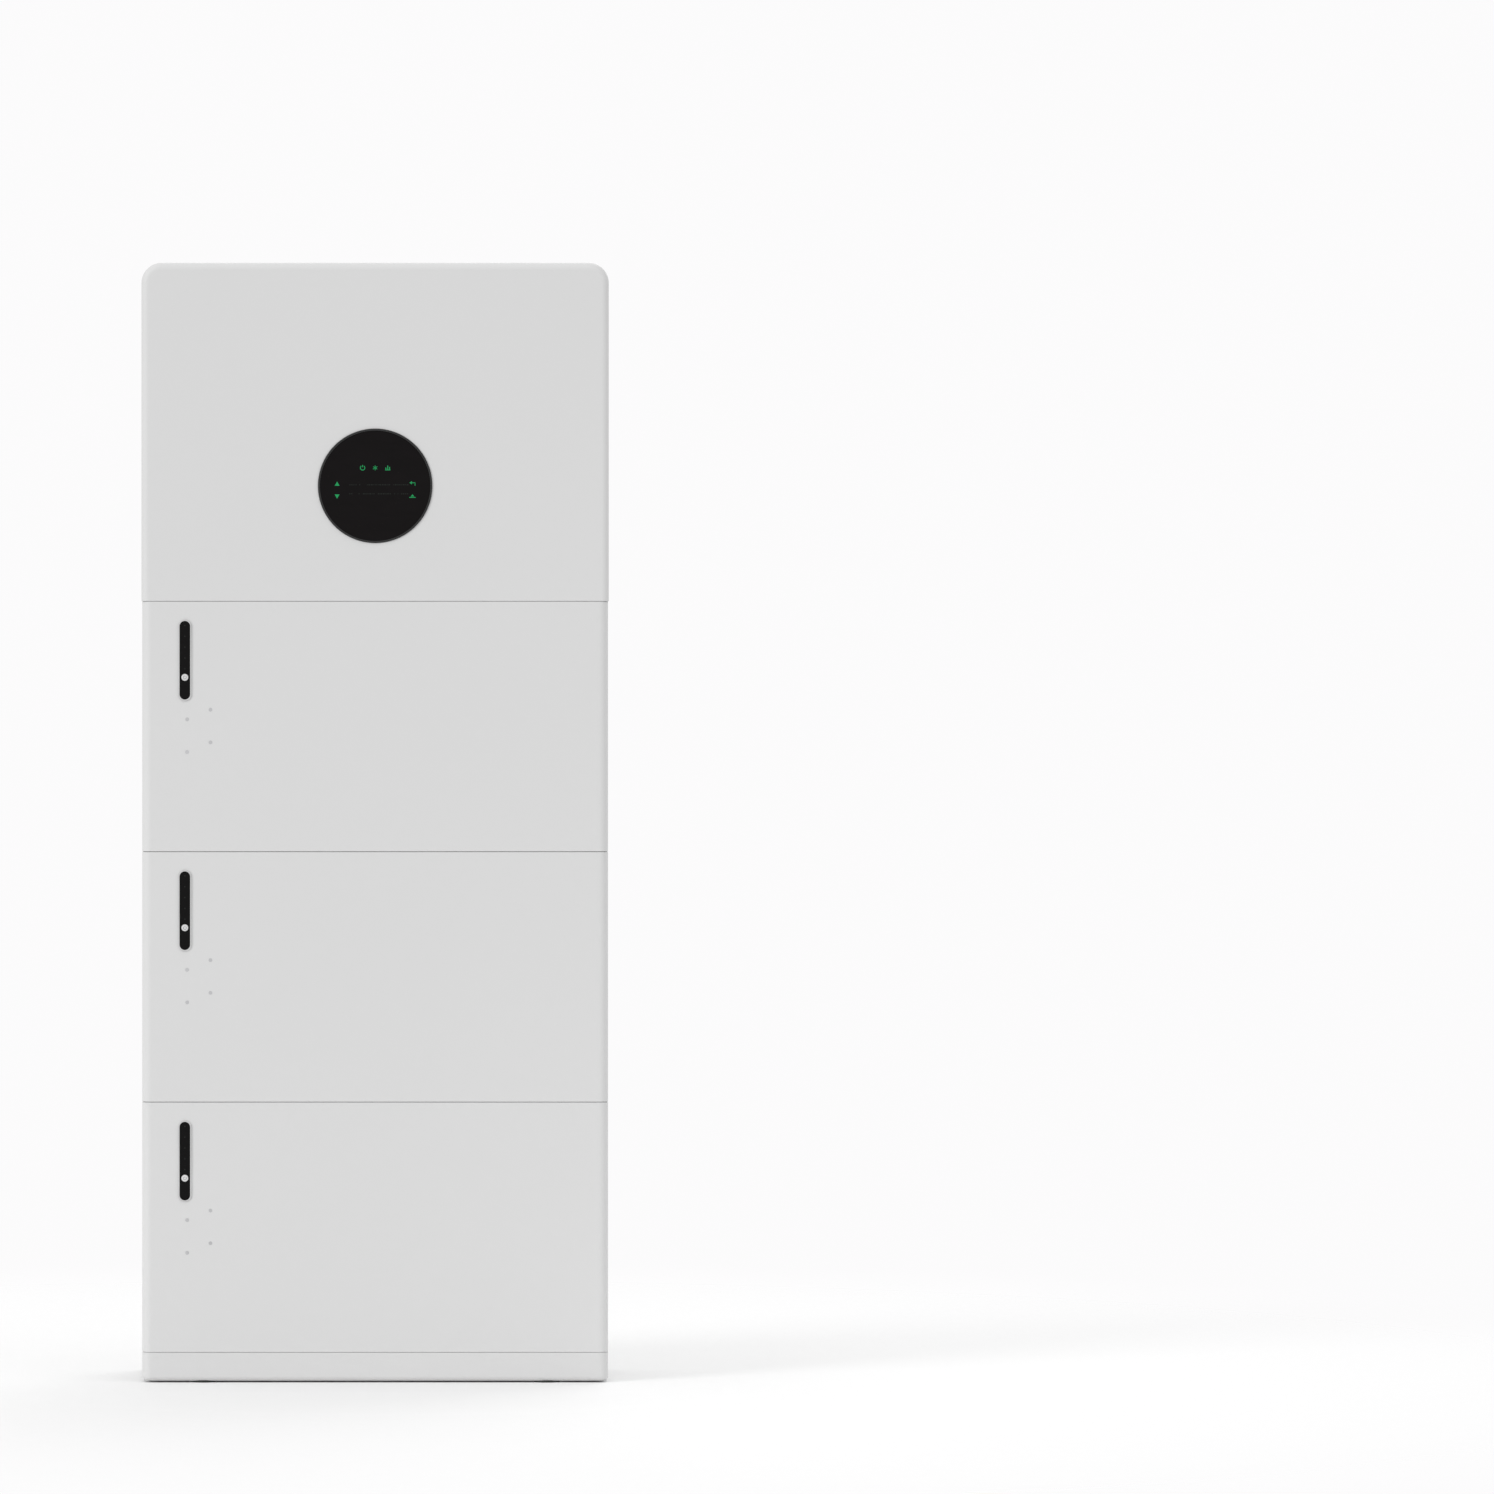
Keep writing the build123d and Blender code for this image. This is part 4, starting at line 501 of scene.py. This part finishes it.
def turned(mesh, profile, matrix, steps, ripple=None):
    # (radius, height) points turned round the local Z axis, from one point on it to another
    rings = [ringOf(mesh, *point, matrix, steps, ripple, index) for index, point in enumerate(profile)]
    for first, second in zip(rings, rings[1:]):
        joinRings(mesh, first, second, steps)


def tube(mesh, profile, matrix, steps, ripple=None):
    # closed (radius, height) loop turned round the local Z axis, open through the middle
    rings = [ringOf(mesh, *point, matrix, steps, ripple, index) for index, point in enumerate(profile)]
    for first, second in zip(rings, rings[1:] + rings[:1]):
        joinRings(mesh, first, second, steps)


def flatRing(mesh, inner, outer, thickness, matrix, steps):
    tube(mesh, [(inner, 0.0), (outer, 0.0), (outer, thickness), (inner, thickness)], matrix, steps)


def facingFront(x, y, z):
    # local X right, local Y up, local Z out of the front
    return Matrix(((1, 0, 0, x), (0, 0, -1, y), (0, 1, 0, z), (0, 0, 0, 1)))


def facingSide(side, x, y, z):
    # local Z out of the right (1) or left (-1) side, local Y up
    return Matrix(((0, 0, side, x), (side, 0, 0, y), (0, 1, 0, z), (0, 0, 0, 1)))


def alongDepth(x, y, z):
    # local Z towards the back, local X to the right
    return Matrix(((1, 0, 0, x), (0, 0, 1, y), (0, -1, 0, z), (0, 0, 0, 1)))


def centreOf(nodeName):
    low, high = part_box(nodeName)
    return (low + high) / 2


def separateParts(nodeName):
    # lowest and highest corners of each piece that a node is made of
    mesh = nodes[nodeName].data
    keys = [tuple(round(value, 5) for value in vertex.co) for vertex in mesh.vertices]
    owner = {key: key for key in keys}

    def find(key):
        while owner[key] != key:
            owner[key] = owner[owner[key]]
            key = owner[key]
        return key

    for edge in mesh.edges:
        owner[find(keys[edge.vertices[0]])] = find(keys[edge.vertices[1]])
    boxes = {}
    for key in owner:
        low, high = boxes.setdefault(find(key), ([9.0] * 3, [-9.0] * 3))
        for axis in range(3):
            low[axis] = min(low[axis], key[axis])
            high[axis] = max(high[axis], key[axis])
    return [(Vector(low), Vector(high)) for low, high in sorted(boxes.values())]


def slab(mesh, width, height, thickness, matrix):
    half, tall = width / 2, height / 2
    prism(mesh, [(-half, -tall), (half, -tall), (half, tall), (-half, tall)], thickness, matrix)


def arc(radius, start, end, steps):
    # points along part of a circle, with its ends in degrees
    turns = [math.radians(start + (end - start) * step / steps) for step in range(steps + 1)]
    return [(radius * math.cos(turn), radius * math.sin(turn)) for turn in turns]


def band(points, width):
    # outline of a stroke of even width along the points
    left, right = [], []
    for index, point in enumerate(points):
        before = Vector(points[max(index - 1, 0)])
        after = Vector(points[min(index + 1, len(points) - 1)])
        across = (after - before).normalized().orthogonal() * (width / 2)
        left.append((point[0] + across.x, point[1] + across.y))
        right.append((point[0] - across.x, point[1] - across.y))
    return left + right[::-1]


def makeDisplaySymbols():
    symbols = {"depth": 0.00006, "stroke": 0.0011, "rowRise": 0.025, "rowPitch": 0.0175, "leftX": -0.053,
               "rightX": 0.052, "upperZ": 0.0026, "lowerZ": -0.0148, "clockRadius": 0.0031,
               "starReach": 0.0036, "starShrink": 0.0002}
    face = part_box("display_lens")[0].y
    centre = centreOf("display_lens")
    stroke = symbols["stroke"]
    mesh = bmesh.new()

    def draw(outline, x, z):
        prism(mesh, outline, symbols["depth"], facingFront(x, face, centre.z + z))

    rise, pitch = symbols["rowRise"], symbols["rowPitch"]
    draw(band(arc(symbols["clockRadius"], 125, 415, 22), stroke), -pitch, rise)
    draw(band([(0, 0.0008), (0, 0.0040)], stroke), -pitch, rise)
    for angle in range(3):  # a star of three crossed strokes
        turn = math.radians(60 * angle + 30)
        reach = symbols["starReach"] - symbols["starShrink"] * angle
        tip = (reach * math.cos(turn), reach * math.sin(turn))
        draw(band([(-tip[0], -tip[1]), tip], stroke * 0.8), 0, rise)
    draw(band([(-0.0037, -0.0029), (0.0037, -0.0029)], stroke), pitch, rise)  # three columns on a line
    for column, top in ((-0.0026, 0.0004), (0.0, 0.0032), (0.0026, 0.0012)):
        draw(band([(column, -0.0022), (column, top)], stroke * 1.2), pitch, rise)
    left, right = symbols["leftX"], symbols["rightX"]
    upper, lower = symbols["upperZ"], symbols["lowerZ"]
    draw([(-0.0034, -0.0026), (0.0034, -0.0026), (0.0, 0.0034)], left, upper)  # arrows up and down
    draw([(-0.0034, 0.0028), (0.0, -0.0032), (0.0034, 0.0028)], left, lower)
    draw(band([(0.0036, -0.0024), (0.0036, 0.0016), (-0.0012, 0.0016)], stroke), right, upper)  # return hook
    draw([(-0.0042, 0.0016), (-0.0008, -0.0008), (-0.0008, 0.0040)], right, upper)
    draw(band([(-0.0044, -0.0014), (0.0044, -0.0014)], stroke), right, lower)  # raised line
    draw([(-0.0026, -0.0002), (0.0026, -0.0002), (0.0, 0.0030)], right, lower)
    newPiece("display_symbols", mesh, marks["iconGreen"], smooth=False)


def makeDisplayReadout():
    # two rows of unlit dashes, too dim to read
    rows = {"seed": 7, "left": -0.036, "right": 0.046, "lines": (0.0014, -0.0112), "dash": 0.0016,
            "lengths": (0.6, 1.0, 1.5), "skip": 0.18, "gap": 0.0011, "height": 0.0007, "depth": 0.00006}
    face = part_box("display_lens")[0].y
    centre = centreOf("display_lens")
    pick = random.Random(rows["seed"])
    half = rows["height"]
    mesh = bmesh.new()
    for line in rows["lines"]:
        x = rows["left"]
        while x < rows["right"]:
            wide = rows["dash"] * pick.choice(rows["lengths"])
            if pick.random() > rows["skip"]:
                outline = [(0, -half), (wide, -half), (wide, half), (0, half)]
                prism(mesh, outline, rows["depth"], facingFront(x, face, centre.z + line))
            x += wide + rows["gap"]
    newPiece("display_readout", mesh, marks["textGrey"], smooth=False)


makeDisplaySymbols()
makeDisplayReadout()
print("display symbols made")


def makeBarLamps():
    lamps = {"radius": 0.0009, "count": 5, "aboveButton": 0.012, "belowTop": 0.008, "depth": 0.00005,
             "steps": 16}
    disc = arc(lamps["radius"], 0, 360, lamps["steps"])[:-1]
    mesh = bmesh.new()
    for number in moduleNumbers:
        low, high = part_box(f"module_{number}_bar_lens")
        button = centreOf(f"module_{number}_power_button")
        first, last = button.z + lamps["aboveButton"], high.z - lamps["belowTop"]
        for index in range(lamps["count"]):
            z = first + (last - first) * index / (lamps["count"] - 1)
            prism(mesh, disc, lamps["depth"], facingFront(button.x, low.y, z))
    newPiece("bar_lamps", mesh, marks["lampDim"], smooth=False)


def makePowerMarks():
    # the usual standby sign on each button
    sign = {"radius": 0.0022, "stroke": 0.00045, "depth": 0.00004, "strokeFrom": 0.3, "strokeTo": 1.15}
    ring = band(arc(sign["radius"], 130, 410, 20), sign["stroke"])
    stroke = band([(0, sign["radius"] * sign["strokeFrom"]), (0, sign["radius"] * sign["strokeTo"])],
                  sign["stroke"])
    for number in moduleNumbers:
        buttonName = f"module_{number}_power_button"
        centre = centreOf(buttonName)
        place = facingFront(centre.x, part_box(buttonName)[0].y, centre.z)
        mesh = bmesh.new()
        for outline in (ring, stroke):
            prism(mesh, outline, sign["depth"], place)
        newPiece(f"module_{number}_power_sign", mesh, marks["signGrey"], f"button_{number}",
                 smooth=False)


makeBarLamps()
makePowerMarks()
print("indicator bars dressed")


def makeCoverScrews():
    screw = {"shank": 0.002, "rim": 0.00372, "edge": 0.00012, "lobe": 0.0017, "lobeTaper": 0.94,
             "lobeDepth": 0.0013, "lobeFloor": 1.15, "lobes": 6, "wave": 0.15, "steps": 48}
    shank, rim, edge, lobe, deep = (screw[key] for key in ("shank", "rim", "edge", "lobe", "lobeDepth"))

    def sixLobes(angle, index):
        return 1 + screw["wave"] * math.cos(screw["lobes"] * angle) if index in (5, 6) else 1.0

    mesh = bmesh.new()
    for low, high in separateParts("cover_screws"):
        side = 1 if high.x > 0 else -1
        face = high.x if side > 0 else low.x
        length = high.x - low.x
        profile = [(0.0, -length), (shank, -length), (shank, shank - rim), (rim, -edge), (rim - edge, 0.0),
                   (lobe, 0.0), (lobe * screw["lobeTaper"], -deep), (0.0, -deep * screw["lobeFloor"])]
        place = facingSide(side, face, (low.y + high.y) / 2, (low.z + high.z) / 2)
        turned(mesh, profile, place, screw["steps"], sixLobes)
    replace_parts(newPiece("six_lobe_screws", mesh, finishes["screw_steel"]), "cover_screws")


def makeCaseRivets():
    rivet = {"radius": 0.0028, "rise": 0.0009, "hole": 0.0009, "inset": 0.013, "rows": 5, "steps": 24}
    radius, rise, hole, inset = (rivet[key] for key in ("radius", "rise", "hole", "inset"))
    profile = [(0.0, -rise), (radius, -rise), (radius, 0.0), (radius * 0.93, rise * 0.45),
               (radius * 0.7, rise * 0.82), (hole * 1.25, rise), (hole, rise * 0.9),
               (hole * 0.9, rise * 0.2), (0.0, rise * 0.15)]  # a low dome with a hole down its middle
    mesh = bmesh.new()
    for number in moduleNumbers:
        low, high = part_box(f"module_{number}_case")
        for x in (low.x + inset, high.x - inset):
            for row in range(rivet["rows"]):
                z = low.z + inset + (high.z - low.z - 2 * inset) * row / (rivet["rows"] - 1)
                turned(mesh, profile, alongDepth(x, high.y, z), rivet["steps"])
    newPiece("case_rivets", mesh, finishes["screw_steel"])


makeCoverScrews()
makeCaseRivets()
print("screws and rivets made")


def sleeveProfile(sleeve):
    # a ribbed rubber tube, with its end edges eased
    half, radius, grip = sleeve["half"], sleeve["radius"], sleeve["grip"]
    floor, ease, start = radius - sleeve["groove"], radius - sleeve["ease"], half - sleeve["lead"] / 2
    profile = [(grip, -half), (ease, -half), (radius, -start)]
    height = -half + sleeve["pitch"]
    while height < half - sleeve["pitch"]:
        profile += [(radius, height - sleeve["mouth"]), (floor, height - sleeve["bed"]),
                    (floor, height + sleeve["bed"]), (radius, height + sleeve["mouth"])]
        height += sleeve["pitch"]
    return profile + [(radius, start), (ease, half), (grip, half)]


def makeHandleSleeves():
    sleeve = {"half": 0.044, "radius": 0.0071, "grip": 0.006, "groove": 0.00045, "pitch": 0.004,
              "lead": 0.0015, "ease": 0.0004, "mouth": 0.0009, "bed": 0.0005, "steps": 40}
    profile = sleeveProfile(sleeve)
    for number in moduleNumbers:
        for side in ("left", "right"):
            handleName = f"module_{number}_{side}_handle"
            centre = centreOf(handleName)
            place = alongDepth(centre.x, centre.y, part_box(handleName)[0].z + sleeve["grip"])
            mesh = bmesh.new()
            tube(mesh, profile, place, sleeve["steps"])
            newPiece(f"module_{number}_{side}_grip_sleeve", mesh, finishes["pad_rubber"],
                     f"{side}_handle_{number}")


makeHandleSleeves()
print("handle sleeves made")


def makeIsolatorDial(centre, plateFace):
    dial = {"radius": 0.031, "hole": 0.0085, "plate": 0.0005, "tickIn": 0.0228, "tickOut": 0.0262,
            "tickWide": 0.0009, "tickStep": 15, "throw": 90, "depth": 0.00006, "steps": 64}
    mesh = bmesh.new()
    flatRing(mesh, dial["hole"], dial["radius"], dial["plate"], facingSide(-1, plateFace, centre.y, centre.z),
             dial["steps"])
    newPiece("isolator_dial", mesh, finishes["breaker_case"], smooth=False)

    place = facingSide(-1, plateFace - dial["plate"], centre.y, centre.z)
    mesh = bmesh.new()
    for degrees in range(0, dial["throw"] + 1, dial["tickStep"]):
        turn = math.radians(90 + degrees)
        ending = degrees in (0, dial["throw"])  # the ticks at the ends of the throw are longer
        inner = dial["tickIn"] if ending else (dial["tickIn"] + dial["tickOut"]) / 2
        points = [(reach * math.cos(turn), reach * math.sin(turn)) for reach in (inner, dial["tickOut"])]
        prism(mesh, band(points, dial["tickWide"]), dial["depth"], place)
    newPiece("isolator_dial_ticks", mesh, marks["signGrey"], smooth=False)


def makeIsolatorKnobDetail(low, high, plateFace):
    knob = {"lineWide": 0.0012, "lineTall": 0.011, "lineRise": 0.0085, "depth": 0.00006, "ribs": 28,
            "ribHeight": 0.0005, "ribWide": 0.0014, "ribRoot": 0.0006, "ribEase": 0.0002, "ribLong": 0.003,
            "skirtGap": 0.0035}
    centre = (low + high) / 2
    mesh = bmesh.new()
    slab(mesh, knob["lineWide"], knob["lineTall"], knob["depth"],
         facingSide(-1, low.x, centre.y, centre.z + knob["lineRise"]))
    newPiece("isolator_pointer", mesh, marks["markWhite"], "isolator_knob", smooth=False)

    skirtRadius = (high.z - low.z) / 2
    root, reach, wide = skirtRadius - knob["ribRoot"], skirtRadius + knob["ribHeight"], knob["ribWide"] / 2
    outline = [(root, -wide), (reach - knob["ribEase"], -wide * 0.8), (reach, 0.0),
               (reach - knob["ribEase"], wide * 0.8), (root, wide)]
    place = facingSide(-1, plateFace - knob["skirtGap"], centre.y, centre.z)
    mesh = bmesh.new()
    for index in range(knob["ribs"]):
        turn = 2 * math.pi * index / knob["ribs"]
        prism(mesh, outline, knob["ribLong"], place @ Matrix.Rotation(turn, 4, "Z"))
    newPiece("isolator_knob_ribs", mesh, finishes["knob_red"], "isolator_knob", smooth=False)


def makeBreakerMarks():
    # a stroke for on and a ring for off
    sign = {"rise": 0.0186, "stroke": 0.0006, "ring": 0.0015, "tall": 0.003, "depth": 0.00006, "steps": 24}
    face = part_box("breaker_body")[0].x
    centre = centreOf("breaker_body")
    mesh = bmesh.new()
    slab(mesh, sign["stroke"], sign["tall"], sign["depth"],
         facingSide(-1, face, centre.y, centre.z + sign["rise"]))
    flatRing(mesh, sign["ring"] - sign["stroke"], sign["ring"], sign["depth"],
             facingSide(-1, face, centre.y, centre.z - sign["rise"]), sign["steps"])
    newPiece("breaker_signs", mesh, marks["signGrey"], smooth=False)


knobLow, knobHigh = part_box("dc_switch_knob")
trayFloor = facePlanes("switch_tray", 0, lambda normal: normal < -0.99)[-1]
makeIsolatorDial((knobLow + knobHigh) / 2, trayFloor)
makeIsolatorKnobDetail(knobLow, knobHigh, trayFloor)
makeBreakerMarks()
print("switches dressed")


def domeProfile(dome, outer, bore):
    # nut edge, a swelling taper to the mouth, then back down the bore
    length, throat = dome["length"], bore + dome["wall"]
    wide, narrow = outer - dome["nutLip"] + dome["rise"], bore + 2 * dome["wall"] + dome["rise"]
    profile = [(wide - dome["ease"], dome["ease"]), (wide, dome["nutLip"])]
    for step in range(1, dome["taperSteps"] + 1):
        share = step / dome["taperSteps"]
        swell = dome["swell"] * math.sin(math.pi * share)
        height = dome["nutLip"] + (length - 2 * dome["nutLip"]) * share
        profile.append((wide + (narrow - wide) * share + swell, height))
    mouth = length + dome["ease"]
    return profile + [(narrow - 3 * dome["ease"], mouth), (bore, mouth), (bore, length - dome["mouth"]),
                      (throat, length - dome["mouth"]), (throat, 2 * dome["ease"])]


def makeGlandDomes():
    dome = {"length": 0.024, "rise": 0.0007, "nutLip": 0.001, "ease": 0.0002, "wall": 0.0015, "mouth": 0.003,
            "swell": 0.0012, "taperSteps": 8, "flutes": 16, "flute": 0.022, "leastFlute": 0.4, "steps": 96,
            "largeOuter": 0.014, "largeBore": 0.009, "smallBore": 0.004}
    seal = {"inner": 0.0014, "mid": 0.0007, "fit": 0.0001, "back": 0.0035, "lip": 0.0012, "ease": 0.0004,
            "proud": 0.0002, "steps": 48}
    last = 1 + dome["taperSteps"]

    def fluted(angle, index):
        least = dome["leastFlute"]
        deep = dome["flute"] * (least + (1 - least) * math.sin(math.pi * min(index, last) / (last + 1)))
        return 1 + deep * math.cos(dome["flutes"] * angle) if 0 < index <= last else 1.0

    domes, inserts = bmesh.new(), bmesh.new()
    length = dome["length"]
    for low, high in separateParts("cable_glands"):
        outer = min(high.y - low.y, high.z - low.z) / 2
        bore = dome["largeBore"] if outer > dome["largeOuter"] else dome["smallBore"]
        place = facingSide(1, high.x - length, (low.y + high.y) / 2, (low.z + high.z) / 2)
        tube(domes, domeProfile(dome, outer, bore), place, dome["steps"], fluted)
        ring = [(bore + seal["fit"], length - seal["back"]), (bore + seal["fit"], length - seal["ease"]),
                (bore - seal["mid"], length - seal["proud"]), (bore - seal["inner"], length - seal["lip"]),
                (bore - seal["inner"], length - seal["back"])]
        tube(inserts, ring, place, seal["steps"])
    newPiece("gland_dome_nuts", domes, finishes["gland"])
    newPiece("gland_seal_inserts", inserts, finishes["pad_rubber"])


def makeConnectorGrips():
    grip = {"long": 0.030, "barrel": 0.008, "rise": 0.0005, "root": 0.0003, "ease": 0.0002, "slope": 0.0003,
            "from": 0.009, "pitch": 0.0022, "count": 6, "wide": 0.0011, "steps": 40}
    collar = {"from": 0.0262, "wide": 0.0012, "rise": 0.0003, "root": 0.0002, "slope": 0.0001}
    root, top = grip["barrel"] - grip["root"], grip["barrel"] + grip["rise"]
    wide, slope = grip["wide"], grip["slope"]
    rib = [(root, 0.0), (top - grip["ease"], 0.0), (top, slope), (top, wide - slope),
           (top - grip["ease"], wide), (root, wide)]
    start, crest, foot = collar["from"], grip["barrel"] + collar["rise"], grip["barrel"] - collar["root"]
    ring = [(foot, start), (crest, start + collar["slope"]), (crest, start + collar["wide"]),
            (foot, start + collar["wide"] + collar["slope"])]
    grips, collars = bmesh.new(), bmesh.new()
    for low, high in separateParts("pv_connectors"):
        place = facingSide(1, high.x - grip["long"], (low.y + high.y) / 2, (low.z + high.z) / 2)
        for index in range(grip["count"]):
            height = grip["from"] + grip["pitch"] * index
            tube(grips, [(radius, height + rise) for radius, rise in rib], place, grip["steps"])
        tube(collars, ring, place, grip["steps"])
    newPiece("solar_connector_grips", grips, finishes["connector_black"])
    newPiece("solar_connector_collars", collars, finishes["knob_red"])


def makeTrayMarks():
    # earth sign beside the stud, plus and minus above the solar connectors
    sign = {"stroke": 0.0008, "depth": 0.00006, "clear": 0.016, "reach": 0.030, "stem": 0.004,
            "cross": 0.0038, "rungs": (0.0064, 0.0042, 0.002), "rungPitch": 0.0014}
    stroke, depth, cross = sign["stroke"], sign["depth"], sign["cross"]
    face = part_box("cable_glands")[1].x - sign["reach"]
    stud = centreOf("earth_stud")
    place = facingSide(1, face, stud.y - sign["clear"], stud.z)
    mesh = bmesh.new()
    slab(mesh, stroke, sign["stem"], depth, place @ Matrix.Translation((0, sign["stem"] / 2, 0)))
    for step, wide in enumerate(sign["rungs"]):
        slab(mesh, wide, stroke, depth, place @ Matrix.Translation((0, -sign["rungPitch"] * step, 0)))
    middle = centreOf("pv_connectors").z
    for low, high in separateParts("pv_connectors"):
        centre = (low + high) / 2
        place = facingSide(1, face, centre.y, centre.z + sign["clear"])
        slab(mesh, cross, stroke, depth, place)
        if centre.z > middle:
            slab(mesh, stroke, cross, depth, place)
    newPiece("connection_signs", mesh, marks["markWhite"], smooth=False)


makeGlandDomes()
makeConnectorGrips()
makeTrayMarks()
print("cable connections dressed")


def addSun(name, direction, power, spread):
    light = bpy.data.lights.new(name, "SUN")
    light.energy = power
    light.angle = math.radians(spread)
    lamp = bpy.data.objects.new(name, light)
    lamp.rotation_euler = Vector(direction).to_track_quat("-Z", "Y").to_euler()
    bpy.context.scene.collection.objects.link(lamp)


def makeStudio():
    studio = {"backdrop": (0.97, 0.965, 0.97), "ambient": 0.8,
              "key": {"direction": (0.8, 0.6, -0.3), "power": 1.12, "spread": 22.0},
              "fill": {"direction": (-0.7, 0.45, -0.35), "power": 0.25, "spread": 60.0},
              "top": {"direction": (0.0, 0.08, -1.0), "power": 0.45, "spread": 80.0},
              "rear": {"direction": (-0.35, -0.85, -0.6), "power": 0.7, "spread": 50.0}}
    scene = bpy.context.scene
    scene.view_settings.view_transform = "Standard"
    world = bpy.data.worlds.new("studio")
    scene.world = world
    world.use_nodes = True
    tree = world.node_tree
    tree.nodes.clear()
    seen = addNode(tree, "ShaderNodeBackground", {"Color": (*studio["backdrop"], 1.0), "Strength": 1.0})
    white = (1.0, 1.0, 1.0, 1.0)
    soft = addNode(tree, "ShaderNodeBackground", {"Color": white, "Strength": studio["ambient"]})
    camera = addNode(tree, "ShaderNodeLightPath").outputs["Is Camera Ray"]
    mixed = addNode(tree, "ShaderNodeMixShader", {0: camera, 1: soft.outputs[0], 2: seen.outputs[0]})
    addNode(tree, "ShaderNodeOutputWorld", {0: mixed.outputs[0]})
    for name in ("key", "fill", "top", "rear"):
        lamp = studio[name]
        addSun(name, lamp["direction"], lamp["power"], lamp["spread"])


def makeFloor():
    # a pale matt disc that fades out into the backdrop
    ground = {"tone": 0.86, "unevenness": 0.01, "fadeStart": 0.6, "fadeEnd": 2.2, "size": 3.0, "segments": 96}
    mesh = bmesh.new()
    bmesh.ops.create_circle(mesh, cap_ends=True, segments=ground["segments"], radius=ground["size"])
    data = bpy.data.meshes.new("floor")
    mesh.to_mesh(data)
    mesh.free()
    floor = bpy.data.objects.new("floor", data)
    bpy.context.scene.collection.objects.link(floor)
    material = bpy.data.materials.new("floor")
    material.use_nodes = True
    tree = material.node_tree
    tree.nodes.clear()
    where = addNode(tree, "ShaderNodeTexCoord").outputs["Object"]
    away = addNode(tree, "ShaderNodeVectorMath", {0: where}, operation="LENGTH").outputs["Value"]
    fade = remap(tree, away, ground["fadeStart"], ground["fadeEnd"])
    fine = noise(tree, where, 40.0, 4.0)
    colour = (ground["tone"],) * 3
    colour = blendColour(tree, fine.outputs[0], shade(colour, 1 - ground["unevenness"]),
                         shade(colour, 1 + ground["unevenness"]))
    matt = addNode(tree, "ShaderNodeBsdfDiffuse", {"Color": colour})
    gone = addNode(tree, "ShaderNodeBsdfTransparent")
    mixed = addNode(tree, "ShaderNodeMixShader", {0: fade, 1: matt.outputs[0], 2: gone.outputs[0]})
    addNode(tree, "ShaderNodeOutputMaterial", {0: mixed.outputs[0]})
    data.materials.append(material)


def makeCamera():
    view = {"distance": 10.0, "eyeHeight": 0.886, "frameWidth": 2.0822, "sensor": 36.0, "shiftX": 0.2489}
    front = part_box("inverter_front_cover")[0].y
    lens = bpy.data.cameras.new("camera")
    lens.sensor_width = view["sensor"]
    lens.lens = view["sensor"] * view["distance"] / view["frameWidth"]
    lens.shift_x = view["shiftX"]
    camera = bpy.data.objects.new("camera", lens)
    camera.location = (0.0, front - view["distance"], view["eyeHeight"])
    camera.rotation_euler = (math.radians(90), 0.0, 0.0)
    bpy.context.scene.collection.objects.link(camera)
    bpy.context.scene.camera = camera


makeStudio()
makeFloor()
makeCamera()
print("studio and camera ready")
